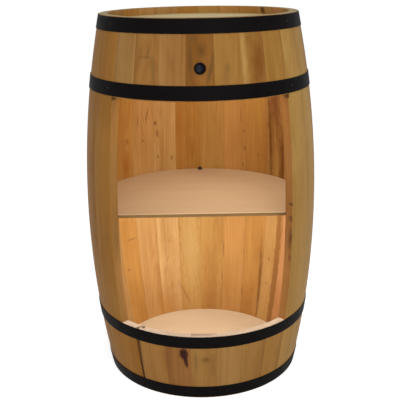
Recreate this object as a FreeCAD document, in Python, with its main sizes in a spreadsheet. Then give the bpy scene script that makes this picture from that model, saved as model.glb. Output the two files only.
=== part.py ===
import FreeCAD, Part
import math
import os
import Sketcher

# Barrel bar cabinet: an upright cask with a front opening, one shelf and lit inside.
# Millimetres. +Z is up, the opening faces -Y, and the origin is the centre of the footprint on the floor.
# Azimuths are degrees round Z from the front centre, growing towards +X.

SIZES = {
    # cask
    "height": 810.0,
    "bilge_height": 389.0,
    "bilge_radius": 258.5,
    "bend_radius": 1950.0,
    "stave_thickness": 18.0,
    "stave_arris": 0.4,
    # front opening
    "opening_half_angle": 47.0,
    "opening_bottom": 158.5,
    "header_depth": 154.8,
    "open_joint": 2.2,
    "open_joint_angle": 36.4,
    # heads, both let into a croze groove
    "head_thickness": 8.0,
    "top_head_depth": 16.0,
    "floor_head_depth": 4.0,
    "croze_depth": 4.0,
    "board_gap": 0.3,
    "flat_seat": 0.1,
    # hoops
    "hoop_width": 28.4,
    "hoop_thickness": 1.5,
    "hoop_fit": 0.05,
    "hoop_end_margin": 0.8,
    "hoop_floor_gap": 2.0,
    "hoop_upper_overlap": 1.5,
    "hoop_lower_overlap": 1.1,
    "hoop_lap_angle": 11.0,
    # hoop nails and rivets
    "nail_angle_end": 54.5,
    "nail_angle_mid": 50.8,
    "nail_shank_radius": 1.1,
    "nail_length": 14.0,
    "nail_head_radius": 2.6,
    "nail_head_height": 0.7,
    "rivet_angle": 3.2,
    "rivet_shank_radius": 2.4,
    "rivet_head_radius": 4.6,
    "rivet_head_height": 2.2,
    # shelf
    "shelf_top": 396.5,
    "shelf_thickness": 7.0,
    "shelf_front": 137.5,
    "notch_width": 12.0,
    "notch_depth": 12.0,
    "side_notch_angle": 75.0,
    # shelf cleats and their screws
    "cleat_height": 18.0,
    "cleat_depth": 15.0,
    "cleat_angle": 13.0,
    "screw_shank_radius": 1.75,
    "screw_length": 25.0,
    "screw_head_radius": 3.5,
    "screw_head_height": 2.5,
    "screw_half_angle": 3.5,
    # cable grommet
    "grommet_bore_radius": 2.5,
    "grommet_wall": 1.5,
    "grommet_flange_radius": 5.7,
    "grommet_flange_thickness": 1.5,
    # switch
    "switch_rise": 62.1,
    "switch_body_radius": 10.0,
    "switch_body_depth": 22.0,
    "switch_hole_gap": 0.15,
    "bezel_radius": 11.5,
    "bezel_thickness": 2.0,
    "bezel_edge": 0.6,
    "rocker_radius": 7.4,
    "rocker_proud": 2.4,
    "rocker_dish": 1.5,
    "rocker_pivot_depth": 3.0,
    "rocker_tilt": 8.0,
    "rocker_skirt": 3.0,
    "rocker_gap": 0.3,
    "rocker_well_depth": 12.0,
    "pivot_radius": 1.4,
    "pivot_engagement": 1.2,
    "pivot_gap": 0.05,
    "terminal_width": 4.8,
    "terminal_thickness": 0.8,
    "terminal_length": 8.0,
    "terminal_spacing": 9.0,
    # LED strips
    "strip_width": 10.0,
    "strip_thickness": 1.2,
    "upper_strip_height": 4.0,
    "upper_strip_half_angle": 40.0,
    "lower_strip_end_margin": 42.5,
    "lower_strip_setback": 8.0,
    "chip_size": 5.0,
    "chip_height": 1.6,
    "chip_pitch": 16.7,
    # inner leads and their clips
    "lead_radius": 1.5,
    "lead_wall_gap": 0.5,
    "lead_spacing": 4.0,
    "lead_run_rise": 53.3,
    "lead_end_gap": 0.1,
    "lead_approach": 15.0,
    "lead_rise": 3.5,
    "terminal_clearance": 13.0,
    "strip_lead_angle": 4.5,
    "clip_wall": 1.2,
    "clip_width": 6.0,
    "clip_gap": 0.8,
    "clip_pitch": 52.0,
}

Vector = FreeCAD.Vector
UP = Vector(0, 0, 1)

document = FreeCAD.newDocument("barrel_cabinet")
sheet = document.addObject("Spreadsheet::Sheet", "sizes")
for row, (name, size) in enumerate(SIZES.items(), start=1):
    sheet.set(f"A{row}", name)
    sheet.set(f"B{row}", str(size))
    sheet.setAlias(f"B{row}", name)
document.recompute()


# ---- numbers and expressions

def number(expression):
    """Value of an expression over the spreadsheet."""
    result = sheet.evalExpression(expression)
    return float(getattr(result, "Value", result))


def radius_at(height, offset="0"):
    """Expression for the cask's radius at a height, a distance outside (or inside) the staves' outer face."""
    return (f"(sizes.bilge_radius - sizes.bend_radius + sqrt((sizes.bend_radius + ({offset}))^2"
            f" - (({height}) - sizes.bilge_height)^2))")


INNER = "-sizes.stave_thickness"
OPENING_TOP = "(sizes.height - sizes.header_depth)"
TOP_HEAD_LOW = "(sizes.height - sizes.top_head_depth - sizes.head_thickness)"
FLOOR_HEAD_LOW = "sizes.floor_head_depth"
SHELF_LOW = "(sizes.shelf_top - sizes.shelf_thickness)"

# Counts and places of staves: side staves run from the right of the opening round the back,
# front staves from left to right.
SIDE_STAVES = 18
FRONT_STAVES = 7
SIDE_CLEAT_STAVE = 4
REAR_CLEAT_STAVE = 7
OPEN_JOINT_STAVE = 2

# Difference below which two radii are the same.
MATCH = 1e-3

# Each hoop's lower edge and the angle of its nails.
HOOPS = {
    "hoop_top": ("(sizes.height - sizes.hoop_end_margin - sizes.hoop_width)", "nail_angle_end"),
    "hoop_upper": (f"({OPENING_TOP} + sizes.hoop_upper_overlap)", "nail_angle_mid"),
    "hoop_lower": ("(sizes.opening_bottom + sizes.hoop_lower_overlap - sizes.hoop_width)", "nail_angle_mid"),
    "hoop_bottom": ("sizes.hoop_floor_gap", "nail_angle_end"),
}


def facing(azimuth):
    """Rotation that turns local +X to the given azimuth."""
    return FreeCAD.Rotation(UP, azimuth - 90)


def outward(azimuth):
    """Horizontal unit vector at an azimuth."""
    return facing(azimuth).multVec(Vector(1, 0, 0))


def on_wall(azimuth, height, offset="0"):
    """Placement on the staves' bend at an azimuth and height: local +Z points out, local +X to the right."""
    rise = number(f"asin((({height}) - sizes.bilge_height) / (sizes.bend_radius + ({offset})))")
    centre = number("sizes.bilge_radius - sizes.bend_radius")
    reach = number(f"sizes.bend_radius + ({offset})")
    normal = outward(azimuth) * math.cos(math.radians(rise)) + UP * math.sin(math.radians(rise))
    point = outward(azimuth) * centre + UP * number("sizes.bilge_height") + normal * reach
    side = UP.cross(normal).normalize()
    return FreeCAD.Placement(point, FreeCAD.Rotation(side, normal.cross(side), normal, "ZXY"))


# ---- sketches

def new_sketch(body, name, role, offset=None):
    """Sketch on one of the body's own origin planes."""
    plane = next(feature for feature in body.Origin.OriginFeatures if feature.Role == role)
    sketch = body.newObject("Sketcher::SketchObject", name)
    sketch.AttachmentSupport = [(plane, "")]
    sketch.MapMode = "FlatFace"
    if offset is not None:
        sketch.AttachmentOffset = offset
    return sketch


def bind(sketch, kind, arguments, expression):
    """Dimension a sketch element with an expression."""
    index = sketch.addConstraint(Sketcher.Constraint(kind, *arguments, number(expression)))
    sketch.setExpression(f"Constraints[{index}]", expression)


def locate(sketch, element, point, across=None, along=None):
    """Dimension a sketch point from the sketch's origin."""
    if across is not None:
        bind(sketch, "DistanceX", (-1, 1, element, point), across)
    if along is not None:
        bind(sketch, "DistanceY", (-1, 1, element, point), along)


def band_sketch(body, name, low, high, inner, outer):
    """Section between two heights and two surfaces that follow the staves' bend."""
    sketch = new_sketch(body, name, "XZ_Plane")
    centre = Vector(number("sizes.bilge_radius - sizes.bend_radius"), number("sizes.bilge_height"), 0)
    arcs = []
    for offset in (outer, inner):
        reach = number(f"sizes.bend_radius + ({offset})")
        ends = [math.asin((number(level) - centre.y) / reach) for level in (low, high)]
        arcs.append(sketch.addGeometry(Part.ArcOfCircle(Part.Circle(centre, UP, reach), *ends), False))
        bind(sketch, "Radius", (arcs[-1],), f"sizes.bend_radius + ({offset})")
    for end in (1, 2):
        points = [sketch.getPoint(arc, end) for arc in arcs]
        line = sketch.addGeometry(Part.LineSegment(*points), False)
        sketch.addConstraint(Sketcher.Constraint("Coincident", line, 1, arcs[0], end))
        sketch.addConstraint(Sketcher.Constraint("Coincident", line, 2, arcs[1], end))
        sketch.addConstraint(Sketcher.Constraint("Horizontal", line))
    sketch.addConstraint(Sketcher.Constraint("Coincident", arcs[0], 3, arcs[1], 3))
    locate(sketch, arcs[0], 3, "sizes.bilge_radius - sizes.bend_radius", "sizes.bilge_height")
    locate(sketch, arcs[0], 1, along=low)
    locate(sketch, arcs[0], 2, along=high)
    return sketch


def rectangle_sketch(body, name, role, corner, opposite, offset=None):
    """Rectangle between two corners, each a pair of expressions."""
    sketch = new_sketch(body, name, role, offset)
    left, low = (number(expression) for expression in corner)
    right, high = (number(expression) for expression in opposite)
    corners = [Vector(left, low, 0), Vector(right, low, 0), Vector(right, high, 0), Vector(left, high, 0)]
    for index in range(4):
        sketch.addGeometry(Part.LineSegment(corners[index], corners[(index + 1) % 4]), False)
    for index in range(4):
        sketch.addConstraint(Sketcher.Constraint("Coincident", index, 2, (index + 1) % 4, 1))
        sketch.addConstraint(Sketcher.Constraint(("Horizontal", "Vertical")[index % 2], index))
    locate(sketch, 0, 1, *corner)
    locate(sketch, 2, 1, *opposite)
    return sketch


def outline_sketch(body, name, role, points):
    """Closed straight-sided outline through points, each a pair of expressions."""
    sketch = new_sketch(body, name, role)
    places = [Vector(number(across), number(along), 0) for across, along in points]
    for index, place in enumerate(places):
        sketch.addGeometry(Part.LineSegment(place, places[(index + 1) % len(places)]), False)
    for index, point in enumerate(points):
        sketch.addConstraint(Sketcher.Constraint("Coincident", index, 2, (index + 1) % len(points), 1))
        locate(sketch, index, 1, *point)
    return sketch


# ---- features

def new_body(label):
    """Empty body, named and labelled."""
    body = document.addObject("PartDesign::Body", label)
    body.Label = label
    return body


def turn(body, kind, sketch, angle=None):
    """Revolution or Groove of a sketch about its vertical axis, centred on the sketch's plane."""
    feature = body.newObject(f"PartDesign::{kind}", f"{body.Name}_{kind}")
    feature.Profile = sketch
    feature.ReferenceAxis = (sketch, ["V_Axis"])
    if angle is None:
        feature.Angle = 360
    else:
        feature.Midplane = True
        feature.setExpression("Angle", angle)
    return feature


def band(label, low, high, inner, outer, azimuth=0.0, angle=None):
    """Body swept round the cask between two heights and two surfaces of the staves' bend."""
    body = new_body(label)
    turn(body, "Revolution", band_sketch(body, f"{label}_section", low, high, inner, outer), angle)
    body.Placement.Rotation = facing(azimuth)
    return body


def ease(body):
    """Small chamfer along a stave's four long edges, which leaves a fine line at every joint."""
    document.recompute()
    swept = body.Tip
    bends = [number(f"sizes.bend_radius + ({offset})") for offset in ("0", INNER)]
    edges = [f"Edge{index}" for index, edge in enumerate(swept.Shape.Edges, start=1)
             if any(abs(getattr(edge.Curve, "Radius", 0) - bend) < MATCH for bend in bends)]
    chamfer = body.newObject("PartDesign::Chamfer", f"{body.Name}_arris")
    chamfer.Base = (swept, edges)
    chamfer.setExpression("Size", "sizes.stave_arris")


def croze(body, low):
    """Groove round the inside of a stave that takes the edge of a head."""
    middle = f"({low} + sizes.head_thickness / 2)"
    mouth = radius_at(middle, INNER) + " - sizes.croze_depth"
    floor = radius_at(middle, INNER) + " + sizes.croze_depth"
    section = rectangle_sketch(body, f"{body.Name}_croze", "XZ_Plane", (mouth, low),
                               (floor, f"{low} + sizes.head_thickness"))
    turn(body, "Groove", section)


def pin(name, placement, radius, low, high):
    """Cylinder along a placement's local Z, between two distances from it."""
    cylinder = document.addObject("Part::Cylinder", name)
    cylinder.setExpression("Radius", radius)
    cylinder.setExpression("Height", f"({high}) - ({low})")
    cylinder.Placement = placement.multiply(FreeCAD.Placement(Vector(0, 0, number(low)), FreeCAD.Rotation()))
    return cylinder


def block(name, placement, width, depth, height, low="0"):
    """Box centred on a placement across its local X and Y, standing on local Z = low."""
    box = document.addObject("Part::Box", name)
    for side, size in (("Length", width), ("Width", depth), ("Height", height)):
        box.setExpression(side, size)
    corner = Vector(-number(width) / 2, -number(depth) / 2, number(low))
    box.Placement = placement.multiply(FreeCAD.Placement(corner, FreeCAD.Rotation()))
    return box


def fuse(label, pieces):
    """Pieces joined into one solid."""
    union = document.addObject("Part::MultiFuse", label)
    union.Label = label
    union.Shapes = pieces
    return union


def cut(label, base, tools):
    """Base with every tool taken out of it."""
    base.Label = f"{label}_blank"
    difference = document.addObject("Part::Cut", f"{label}_cut")
    difference.Base = base
    difference.Tool = tools[0] if len(tools) == 1 else fuse(f"{label}_tools", tools)
    difference.Label = label
    return difference


def group(label, pieces):
    """Several alike solids kept as one part."""
    compound = document.addObject("Part::Compound", label)
    compound.Label = label
    compound.Links = pieces
    return compound


parts = {}


def keep(part):
    """Count a finished part among those that are written."""
    parts[part.Label] = part
    return part


# ---- hoop nails and rivets

# Distances of a hoop's outer face, and of its lap's, outside the staves.
HOOP_FACE = "(sizes.hoop_fit + sizes.hoop_thickness)"
LAP_FACE = "(sizes.hoop_fit + 2 * sizes.hoop_thickness)"


def hoop_fasteners():
    """Nails (name, hoop, side, placement) and rivets (name, hoop, placement) on the faces they hold."""
    nails = []
    rivets = []
    for hoop, (low, nail_angle) in HOOPS.items():
        height = f"({low} + sizes.hoop_width / 2)"
        for side, sign in (("right", 1), ("left", -1)):
            seat = on_wall(sign * number(f"sizes.{nail_angle}"), height, HOOP_FACE)
            nails.append((f"{hoop}_nail_{side}", hoop, sign, seat))
            seat = on_wall(180 - sign * number("sizes.rivet_angle"), height, LAP_FACE)
            rivets.append((f"{hoop}_rivet_{side}", hoop, seat))
    return nails, rivets


NAILS, RIVETS = hoop_fasteners()


def build_fasteners():
    """Nails that hold the hoops beside the opening, and rivets through their laps."""
    nails = []
    for name, hoop, sign, seat in NAILS:
        shank = pin(f"{name}_shank", seat, "sizes.nail_shank_radius", "-sizes.nail_length", "0")
        head = pin(f"{name}_head", seat, "sizes.nail_head_radius", "0", "sizes.nail_head_height")
        nails.append(fuse(name, [shank, head]))
    keep(group("hoop_nails", nails))
    rivets = []
    for name, hoop, seat in RIVETS:
        shank = pin(f"{name}_shank", seat, "sizes.rivet_shank_radius", "-2 * sizes.hoop_thickness", "0")
        head = document.addObject("Part::Cone", f"{name}_head")
        head.setExpression("Radius1", "sizes.rivet_head_radius")
        head.setExpression("Radius2", "sizes.rivet_head_radius / 2")
        head.setExpression("Height", "sizes.rivet_head_height")
        head.Placement = seat
        rivets.append(fuse(name, [shank, head]))
    keep(group("hoop_rivets", rivets))


def nail_holes(name, wanted):
    """Drills for the nails that a test picks out."""
    drills = []
    for nail, hoop, sign, seat in NAILS:
        if wanted(hoop, sign):
            drills.append(pin(f"{name}_{nail}_hole", seat, "sizes.nail_shank_radius",
                              "-sizes.nail_length", "sizes.nail_head_height"))
    return drills


# ---- staves

SIDE_STEP = f"((360 - 2 * sizes.opening_half_angle) / {SIDE_STAVES})"
FRONT_STEP = f"(2 * sizes.opening_half_angle / {FRONT_STAVES})"
OPEN_JOINT = "(sizes.open_joint / sizes.bilge_radius * 180 / pi)"


def stave_azimuth(place):
    """Azimuth of a full-length stave's middle: 1 is right of the opening, the last is left of it."""
    return number("sizes.opening_half_angle") + (place - 0.5) * number(SIDE_STEP)


def mirrored_place(place):
    """Place of the stave that faces another across the cask."""
    return SIDE_STAVES + 1 - place


def build_staves():
    """Full-length staves from the right of the opening round the back to the left of it."""
    for place in range(1, SIDE_STAVES + 1):
        label = f"stave_{place:02d}"
        azimuth = stave_azimuth(place)
        body = band(label, "0", "sizes.height", INNER, "0", azimuth, SIDE_STEP)
        ease(body)
        croze(body, TOP_HEAD_LOW)
        croze(body, FLOOR_HEAD_LOW)
        drills = []
        if place == 1:
            drills = nail_holes(label, lambda hoop, sign: sign > 0)
        if place == SIDE_STAVES:
            drills = nail_holes(label, lambda hoop, sign: sign < 0)
        if abs(azimuth - 180) < number(SIDE_STEP):
            drills = [pin(f"{label}_cable_hole", grommet_seat(), GROMMET_RADIUS,
                          "-2 * sizes.stave_thickness", "sizes.stave_thickness")]
        for name, cleat_place, seat in SCREWS:
            if cleat_place == place:
                drills.append(pin(f"{label}_{name}_hole", seat, "sizes.screw_shank_radius", "0",
                                  "sizes.screw_length"))
        keep(cut(label, body, drills) if drills else body)


def front_edges(place, footer):
    """Left and right edge of a short stave, in degrees from the front centre. One footer joint is open."""
    left = f"({FRONT_STEP} * {place - 1} - sizes.opening_half_angle)"
    right = f"({FRONT_STEP} * {place} - sizes.opening_half_angle)"
    if footer and place == OPEN_JOINT_STAVE - 1:
        right = "(-sizes.open_joint_angle)"
    if footer and place == OPEN_JOINT_STAVE:
        left = f"({OPEN_JOINT} - sizes.open_joint_angle)"
    return left, right


def build_front_staves():
    """Short staves above and below the opening."""
    for place in range(1, FRONT_STAVES + 1):
        left, right = front_edges(place, False)
        header_label = f"header_stave_{place}"
        header = band(header_label, OPENING_TOP, "sizes.height", INNER, "0",
                      number(f"({left} + {right}) / 2"), f"{right} - {left}")
        ease(header)
        croze(header, TOP_HEAD_LOW)
        if place == FRONT_STAVES // 2 + 1:
            hole = pin(f"{header_label}_switch_hole", switch_seat(),
                       "sizes.switch_body_radius + sizes.switch_hole_gap",
                       "-2 * sizes.stave_thickness", "sizes.stave_thickness")
            header = cut(header_label, header, [hole])
        keep(header)
        left, right = front_edges(place, True)
        footer_label = f"footer_stave_{place}"
        footer = band(footer_label, "0", "sizes.opening_bottom", INNER, "0",
                      number(f"({left} + {right}) / 2"), f"{right} - {left}")
        ease(footer)
        croze(footer, FLOOR_HEAD_LOW)
        keep(footer)


# ---- hoops

def build_hoops():
    """Flat bands round the cask, each with its ends lapped and riveted at the back."""
    for label, (low, nail_angle) in HOOPS.items():
        high = f"({low} + sizes.hoop_width)"
        body = band(label, low, high, "sizes.hoop_fit", HOOP_FACE, 180.0)
        lap = band_sketch(body, f"{label}_lap_section", low, high, HOOP_FACE, LAP_FACE)
        document.recompute()
        turn(body, "Revolution", lap, "sizes.hoop_lap_angle")
        drills = nail_holes(label, lambda hoop, sign, wanted=label: hoop == wanted)
        drills += [pin(f"{rivet}_hole", seat, "sizes.rivet_shank_radius", f"-2 * {LAP_FACE}", LAP_FACE)
                   for rivet, hoop, seat in RIVETS if hoop == label]
        keep(cut(label, body, drills))


# ---- heads and shelf

def disc(label, low, thickness, radius):
    """Round board that lies from a height up."""
    body = new_body(label)
    sketch = new_sketch(body, f"{label}_outline", "XY_Plane")
    sketch.addGeometry(Part.Circle(Vector(0, 0, 0), UP, number(radius)), False)
    sketch.addConstraint(Sketcher.Constraint("Coincident", 0, 3, -1, 1))
    bind(sketch, "Radius", (0,), radius)
    pad = body.newObject("PartDesign::Pad", f"{label}_pad")
    pad.Profile = sketch
    pad.setExpression("Length", thickness)
    body.setExpression("Placement.Base.z", low)
    return body


def build_heads():
    """Top and floor boards, each let into the staves all round."""
    for label, low in (("top_head", TOP_HEAD_LOW), ("bottom_head", FLOOR_HEAD_LOW)):
        middle = f"({low} + sizes.head_thickness / 2)"
        radius = radius_at(middle, INNER) + " + sizes.croze_depth - sizes.board_gap"
        keep(disc(label, low, "sizes.head_thickness", radius))


def shelf_radius():
    """Radius of the shelf's round edge: the wall at its tighter face, less the gap."""
    return radius_at("sizes.shelf_top", INNER) + " - sizes.board_gap"


def build_shelf():
    """Half-moon board with a straight front edge, a cable notch behind and one at the left side."""
    body = disc("shelf", SHELF_LOW, "sizes.shelf_thickness", shelf_radius())
    front = rectangle_sketch(body, "shelf_front_cut", "XY_Plane",
                             ("-sizes.bilge_radius", "-sizes.bilge_radius"),
                             ("sizes.bilge_radius", "-sizes.shelf_front"))
    notches = [rectangle_sketch(body, f"shelf_{name}_notch", "XY_Plane",
                                (shelf_radius() + " - sizes.notch_depth", "-sizes.notch_width / 2"),
                                ("sizes.bilge_radius", "sizes.notch_width / 2"),
                                FreeCAD.Placement(Vector(0, 0, 0), facing(azimuth)))
               for name, azimuth in (("rear", 180.0), ("side", -number("sizes.side_notch_angle")))]
    document.recompute()
    for sketch in [front] + notches:
        pocket = body.newObject("PartDesign::Pocket", f"{sketch.Name}_pocket")
        pocket.Profile = sketch
        pocket.Type = "ThroughAll"
        pocket.Midplane = True
    keep(body)


CLEATS = (
    ("shelf_cleat_right", SIDE_CLEAT_STAVE),
    ("shelf_cleat_left", mirrored_place(SIDE_CLEAT_STAVE)),
    ("shelf_cleat_rear_right", REAR_CLEAT_STAVE),
    ("shelf_cleat_rear_left", mirrored_place(REAR_CLEAT_STAVE)),
)
CLEAT_LOW = f"({SHELF_LOW} - sizes.cleat_height)"


def cleat_screws():
    """Cleat screws: (name, stave place, placement on the cleat's inner face)."""
    screws = []
    for label, place in CLEATS:
        for end, shift in (("first", "-sizes.screw_half_angle"), ("second", "sizes.screw_half_angle")):
            seat = on_wall(stave_azimuth(place) + number(shift), f"{CLEAT_LOW} + sizes.cleat_height / 2",
                           f"{INNER} - sizes.cleat_depth")
            screws.append((f"{label}_{end}_screw", place, seat))
    return screws


SCREWS = cleat_screws()


def build_cleats():
    """Blocks on the wall that carry the shelf, and the screws that hold them."""
    for label, place in CLEATS:
        body = band(label, CLEAT_LOW, SHELF_LOW, f"{INNER} - sizes.cleat_depth", INNER,
                    stave_azimuth(place), "sizes.cleat_angle")
        drills = [pin(f"{name}_clearance", seat, "sizes.screw_shank_radius", "-sizes.cleat_depth",
                      "sizes.screw_length") for name, screw_place, seat in SCREWS if screw_place == place]
        keep(cut(label, body, drills))
    screws = []
    for name, place, seat in SCREWS:
        shank = pin(f"{name}_shank", seat, "sizes.screw_shank_radius", "-sizes.flat_seat", "sizes.screw_length")
        head = pin(f"{name}_head", seat, "sizes.screw_head_radius",
                   "-sizes.flat_seat - sizes.screw_head_height", "-sizes.flat_seat")
        screws.append(fuse(name, [shank, head]))
    keep(group("cleat_screws", screws))


# ---- cable grommet

GROMMET_RADIUS = "(sizes.grommet_bore_radius + sizes.grommet_wall)"


def grommet_seat():
    """Placement on the outer face at the rear centre, level with the shelf's top face."""
    return on_wall(180.0, "sizes.shelf_top")


def build_grommet():
    """Sleeve with a flange each side of the rear wall."""
    seat = grommet_seat()
    inner_face = "(-sizes.stave_thickness - sizes.flat_seat)"
    inner_end = f"({inner_face} - sizes.grommet_flange_thickness)"
    sleeve = pin("grommet_sleeve", seat, GROMMET_RADIUS, inner_end, "sizes.grommet_flange_thickness")
    outside = pin("grommet_outer_flange", seat, "sizes.grommet_flange_radius", "0", "sizes.grommet_flange_thickness")
    inside = pin("grommet_inner_flange", seat, "sizes.grommet_flange_radius", inner_end, inner_face)
    bore = pin("grommet_bore", seat, "sizes.grommet_bore_radius", f"2 * {inner_end}", "sizes.stave_thickness")
    keep(cut("cable_grommet", fuse("grommet_solid", [sleeve, outside, inside]), [bore]))


# ---- switch

TERMINALS = (("left", "-sizes.terminal_spacing / 2"), ("right", "sizes.terminal_spacing / 2"))
TERMINAL_END = "(-sizes.switch_body_depth - sizes.terminal_length)"
ROCKER_LOW = "(-sizes.rocker_pivot_depth - sizes.rocker_skirt)"


def switch_seat():
    """Placement on the header's outer face where the switch sits, local +Z straight out of the face."""
    return on_wall(0.0, f"{OPENING_TOP} + sizes.switch_rise")


def switch_well_radius():
    """Radius of the well that the rocker swings in: its widest reach over the travel, and the gap."""
    return ("(sizes.rocker_radius * cos(sizes.rocker_tilt)"
            " + (sizes.rocker_proud + sizes.rocker_pivot_depth) * sin(sizes.rocker_tilt) + sizes.rocker_gap)")


def pivot_sketch(body, name, radius):
    """Circle on the rocker's pivot axis."""
    sketch = new_sketch(body, name, "XZ_Plane")
    sketch.addGeometry(Part.Circle(Vector(0, -number("sizes.rocker_pivot_depth"), 0), UP, number(radius)), False)
    locate(sketch, 0, 3, "0", "-sizes.rocker_pivot_depth")
    bind(sketch, "Radius", (0,), radius)
    return sketch


def build_switch():
    """Round rocker switch: bezel and body, rocker on its pivot, and two solder terminals."""
    seat = switch_seat()
    well = switch_well_radius()
    housing = new_body("switch_housing")
    section = outline_sketch(housing, "switch_housing_section", "XZ_Plane", [
        (well, "sizes.bezel_thickness"),
        (well, "-sizes.rocker_well_depth"),
        ("0", "-sizes.rocker_well_depth"),
        ("0", "-sizes.switch_body_depth"),
        ("sizes.switch_body_radius", "-sizes.switch_body_depth"),
        ("sizes.switch_body_radius", "0"),
        ("sizes.bezel_radius", "0"),
        ("sizes.bezel_radius", "sizes.bezel_thickness - sizes.bezel_edge"),
        ("sizes.bezel_radius - sizes.bezel_edge", "sizes.bezel_thickness"),
    ])
    turn(housing, "Revolution", section)
    bearing = pivot_sketch(housing, "switch_pivot_holes", "sizes.pivot_radius + sizes.pivot_gap")
    document.recompute()
    bore = housing.newObject("PartDesign::Pocket", "switch_pivot_bore")
    bore.Profile = bearing
    bore.Midplane = True
    bore.setExpression("Length", f"2 * ({well} + sizes.pivot_engagement + sizes.pivot_gap)")
    housing.Placement = seat
    keep(housing)

    rocker = new_body("switch_rocker")
    outline = new_sketch(rocker, "rocker_outline", "XY_Plane",
                         FreeCAD.Placement(Vector(0, 0, number(ROCKER_LOW)), FreeCAD.Rotation()))
    outline.setExpression("AttachmentOffset.Base.z", ROCKER_LOW)
    outline.addGeometry(Part.Circle(Vector(0, 0, 0), UP, number("sizes.rocker_radius")), False)
    outline.addConstraint(Sketcher.Constraint("Coincident", 0, 3, -1, 1))
    bind(outline, "Radius", (0,), "sizes.rocker_radius")
    button = rocker.newObject("PartDesign::Pad", "rocker_button")
    button.Profile = outline
    button.setExpression("Length", f"sizes.rocker_proud - {ROCKER_LOW}")
    dish = outline_sketch(rocker, "rocker_dish_section", "XZ_Plane", [
        ("-sizes.rocker_radius", "sizes.rocker_proud"),
        ("0", "sizes.rocker_proud - sizes.rocker_dish"),
        ("sizes.rocker_radius", "sizes.rocker_proud"),
    ])
    document.recompute()
    valley = rocker.newObject("PartDesign::Pocket", "rocker_dish")
    valley.Profile = dish
    valley.Type = "ThroughAll"
    valley.Midplane = True
    trunnion = pivot_sketch(rocker, "rocker_pivot_section", "sizes.pivot_radius")
    document.recompute()
    pivot = rocker.newObject("PartDesign::Pad", "rocker_pivot")
    pivot.Profile = trunnion
    pivot.Midplane = True
    pivot.setExpression("Length", f"2 * ({well} + sizes.pivot_engagement)")
    hinge = Vector(0, 0, -number("sizes.rocker_pivot_depth"))
    tilt = FreeCAD.Rotation(Vector(0, 1, 0), -number("sizes.rocker_tilt"))
    rocker.Placement = seat.multiply(FreeCAD.Placement(Vector(0, 0, 0), tilt, hinge))
    keep(rocker)

    tabs = []
    for name, x in TERMINALS:
        place = seat.multiply(FreeCAD.Placement(Vector(number(x), 0, 0), FreeCAD.Rotation()))
        tabs.append(block(f"switch_terminal_{name}", place, "sizes.terminal_thickness", "sizes.terminal_width",
                          "sizes.terminal_length", TERMINAL_END))
    keep(group("switch_terminals", tabs))


# ---- LED strips

UPPER_STRIP_LOW = f"({OPENING_TOP} + sizes.upper_strip_height)"
UPPER_STRIP_MIDDLE = f"({UPPER_STRIP_LOW} + sizes.strip_width / 2)"
UPPER_STRIP_FACE = f"{INNER} - sizes.strip_thickness"
LOWER_STRIP_Y = "(-sizes.shelf_front + sizes.lower_strip_setback + sizes.strip_width / 2)"
LOWER_STRIP_HALF = f"(sqrt(({shelf_radius()})^2 - {LOWER_STRIP_Y}^2) - sizes.lower_strip_end_margin)"


def chip_places(length):
    """Distances of evenly pitched LED packages from the middle of a strip of a given length."""
    pitch = number("sizes.chip_pitch")
    count = int(length // pitch)
    return [(index - (count - 1) / 2) * pitch for index in range(count)]


def build_strips():
    """One strip inside the header's lower edge and one under the shelf's front edge, with their LED packages."""
    upper = band("led_strip_upper", UPPER_STRIP_LOW, f"{UPPER_STRIP_LOW} + sizes.strip_width",
                 UPPER_STRIP_FACE, INNER, 0.0, "2 * sizes.upper_strip_half_angle")
    keep(upper)
    radius = number(radius_at(UPPER_STRIP_MIDDLE, UPPER_STRIP_FACE))
    chips = []
    for index, distance in enumerate(chip_places(2 * math.radians(number("sizes.upper_strip_half_angle")) * radius)):
        seat = on_wall(math.degrees(distance / radius), UPPER_STRIP_MIDDLE, f"{UPPER_STRIP_FACE} - sizes.flat_seat")
        chips.append(block(f"upper_chip_{index + 1}", seat, "sizes.chip_size", "sizes.chip_size",
                           "sizes.chip_height", "-sizes.chip_height"))
    keep(group("led_chips_upper", chips))

    middle = FreeCAD.Placement(Vector(0, number(LOWER_STRIP_Y), number(SHELF_LOW)), FreeCAD.Rotation())
    strip = block("led_strip_lower", middle, f"2 * {LOWER_STRIP_HALF}", "sizes.strip_width",
                  "sizes.strip_thickness", "-sizes.strip_thickness")
    strip.Label = "led_strip_lower"
    keep(strip)
    chips = []
    for index, distance in enumerate(chip_places(number(f"2 * {LOWER_STRIP_HALF}"))):
        seat = middle.multiply(FreeCAD.Placement(Vector(distance, 0, 0), FreeCAD.Rotation()))
        chips.append(block(f"lower_chip_{index + 1}", seat, "sizes.chip_size", "sizes.chip_size",
                           "sizes.chip_height", "-sizes.strip_thickness - sizes.flat_seat - sizes.chip_height"))
    keep(group("led_chips_lower", chips))


# ---- inner leads and clips

LEAD_RUN = f"({OPENING_TOP} + sizes.lead_run_rise)"
ABOVE_SHELF = "(sizes.shelf_top + sizes.lead_rise)"

# Azimuth steps along the leads, and where they leave the header for the switch.
LEAD_STEP = 7.5
HEADER_LEAVE = 14.0

# How far into the shelf's rear notch the supply lead drops.
DROP_SHARE = 0.55

# Share of a run that its arcs may take, at a lead's ends and between them.
END_SHARE = 0.9
INNER_SHARE = 0.45


def polar(azimuth, radius, height):
    """Point at an azimuth, radius and height, the last two as expressions."""
    return outward(azimuth) * number(radius) + UP * number(height)


def by_wall(azimuth, height, gap="sizes.lead_wall_gap"):
    """Centre of a lead that lies against the inside of the wall."""
    return polar(azimuth, f"{radius_at(height, INNER)} - sizes.lead_radius - {gap}", height)


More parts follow.
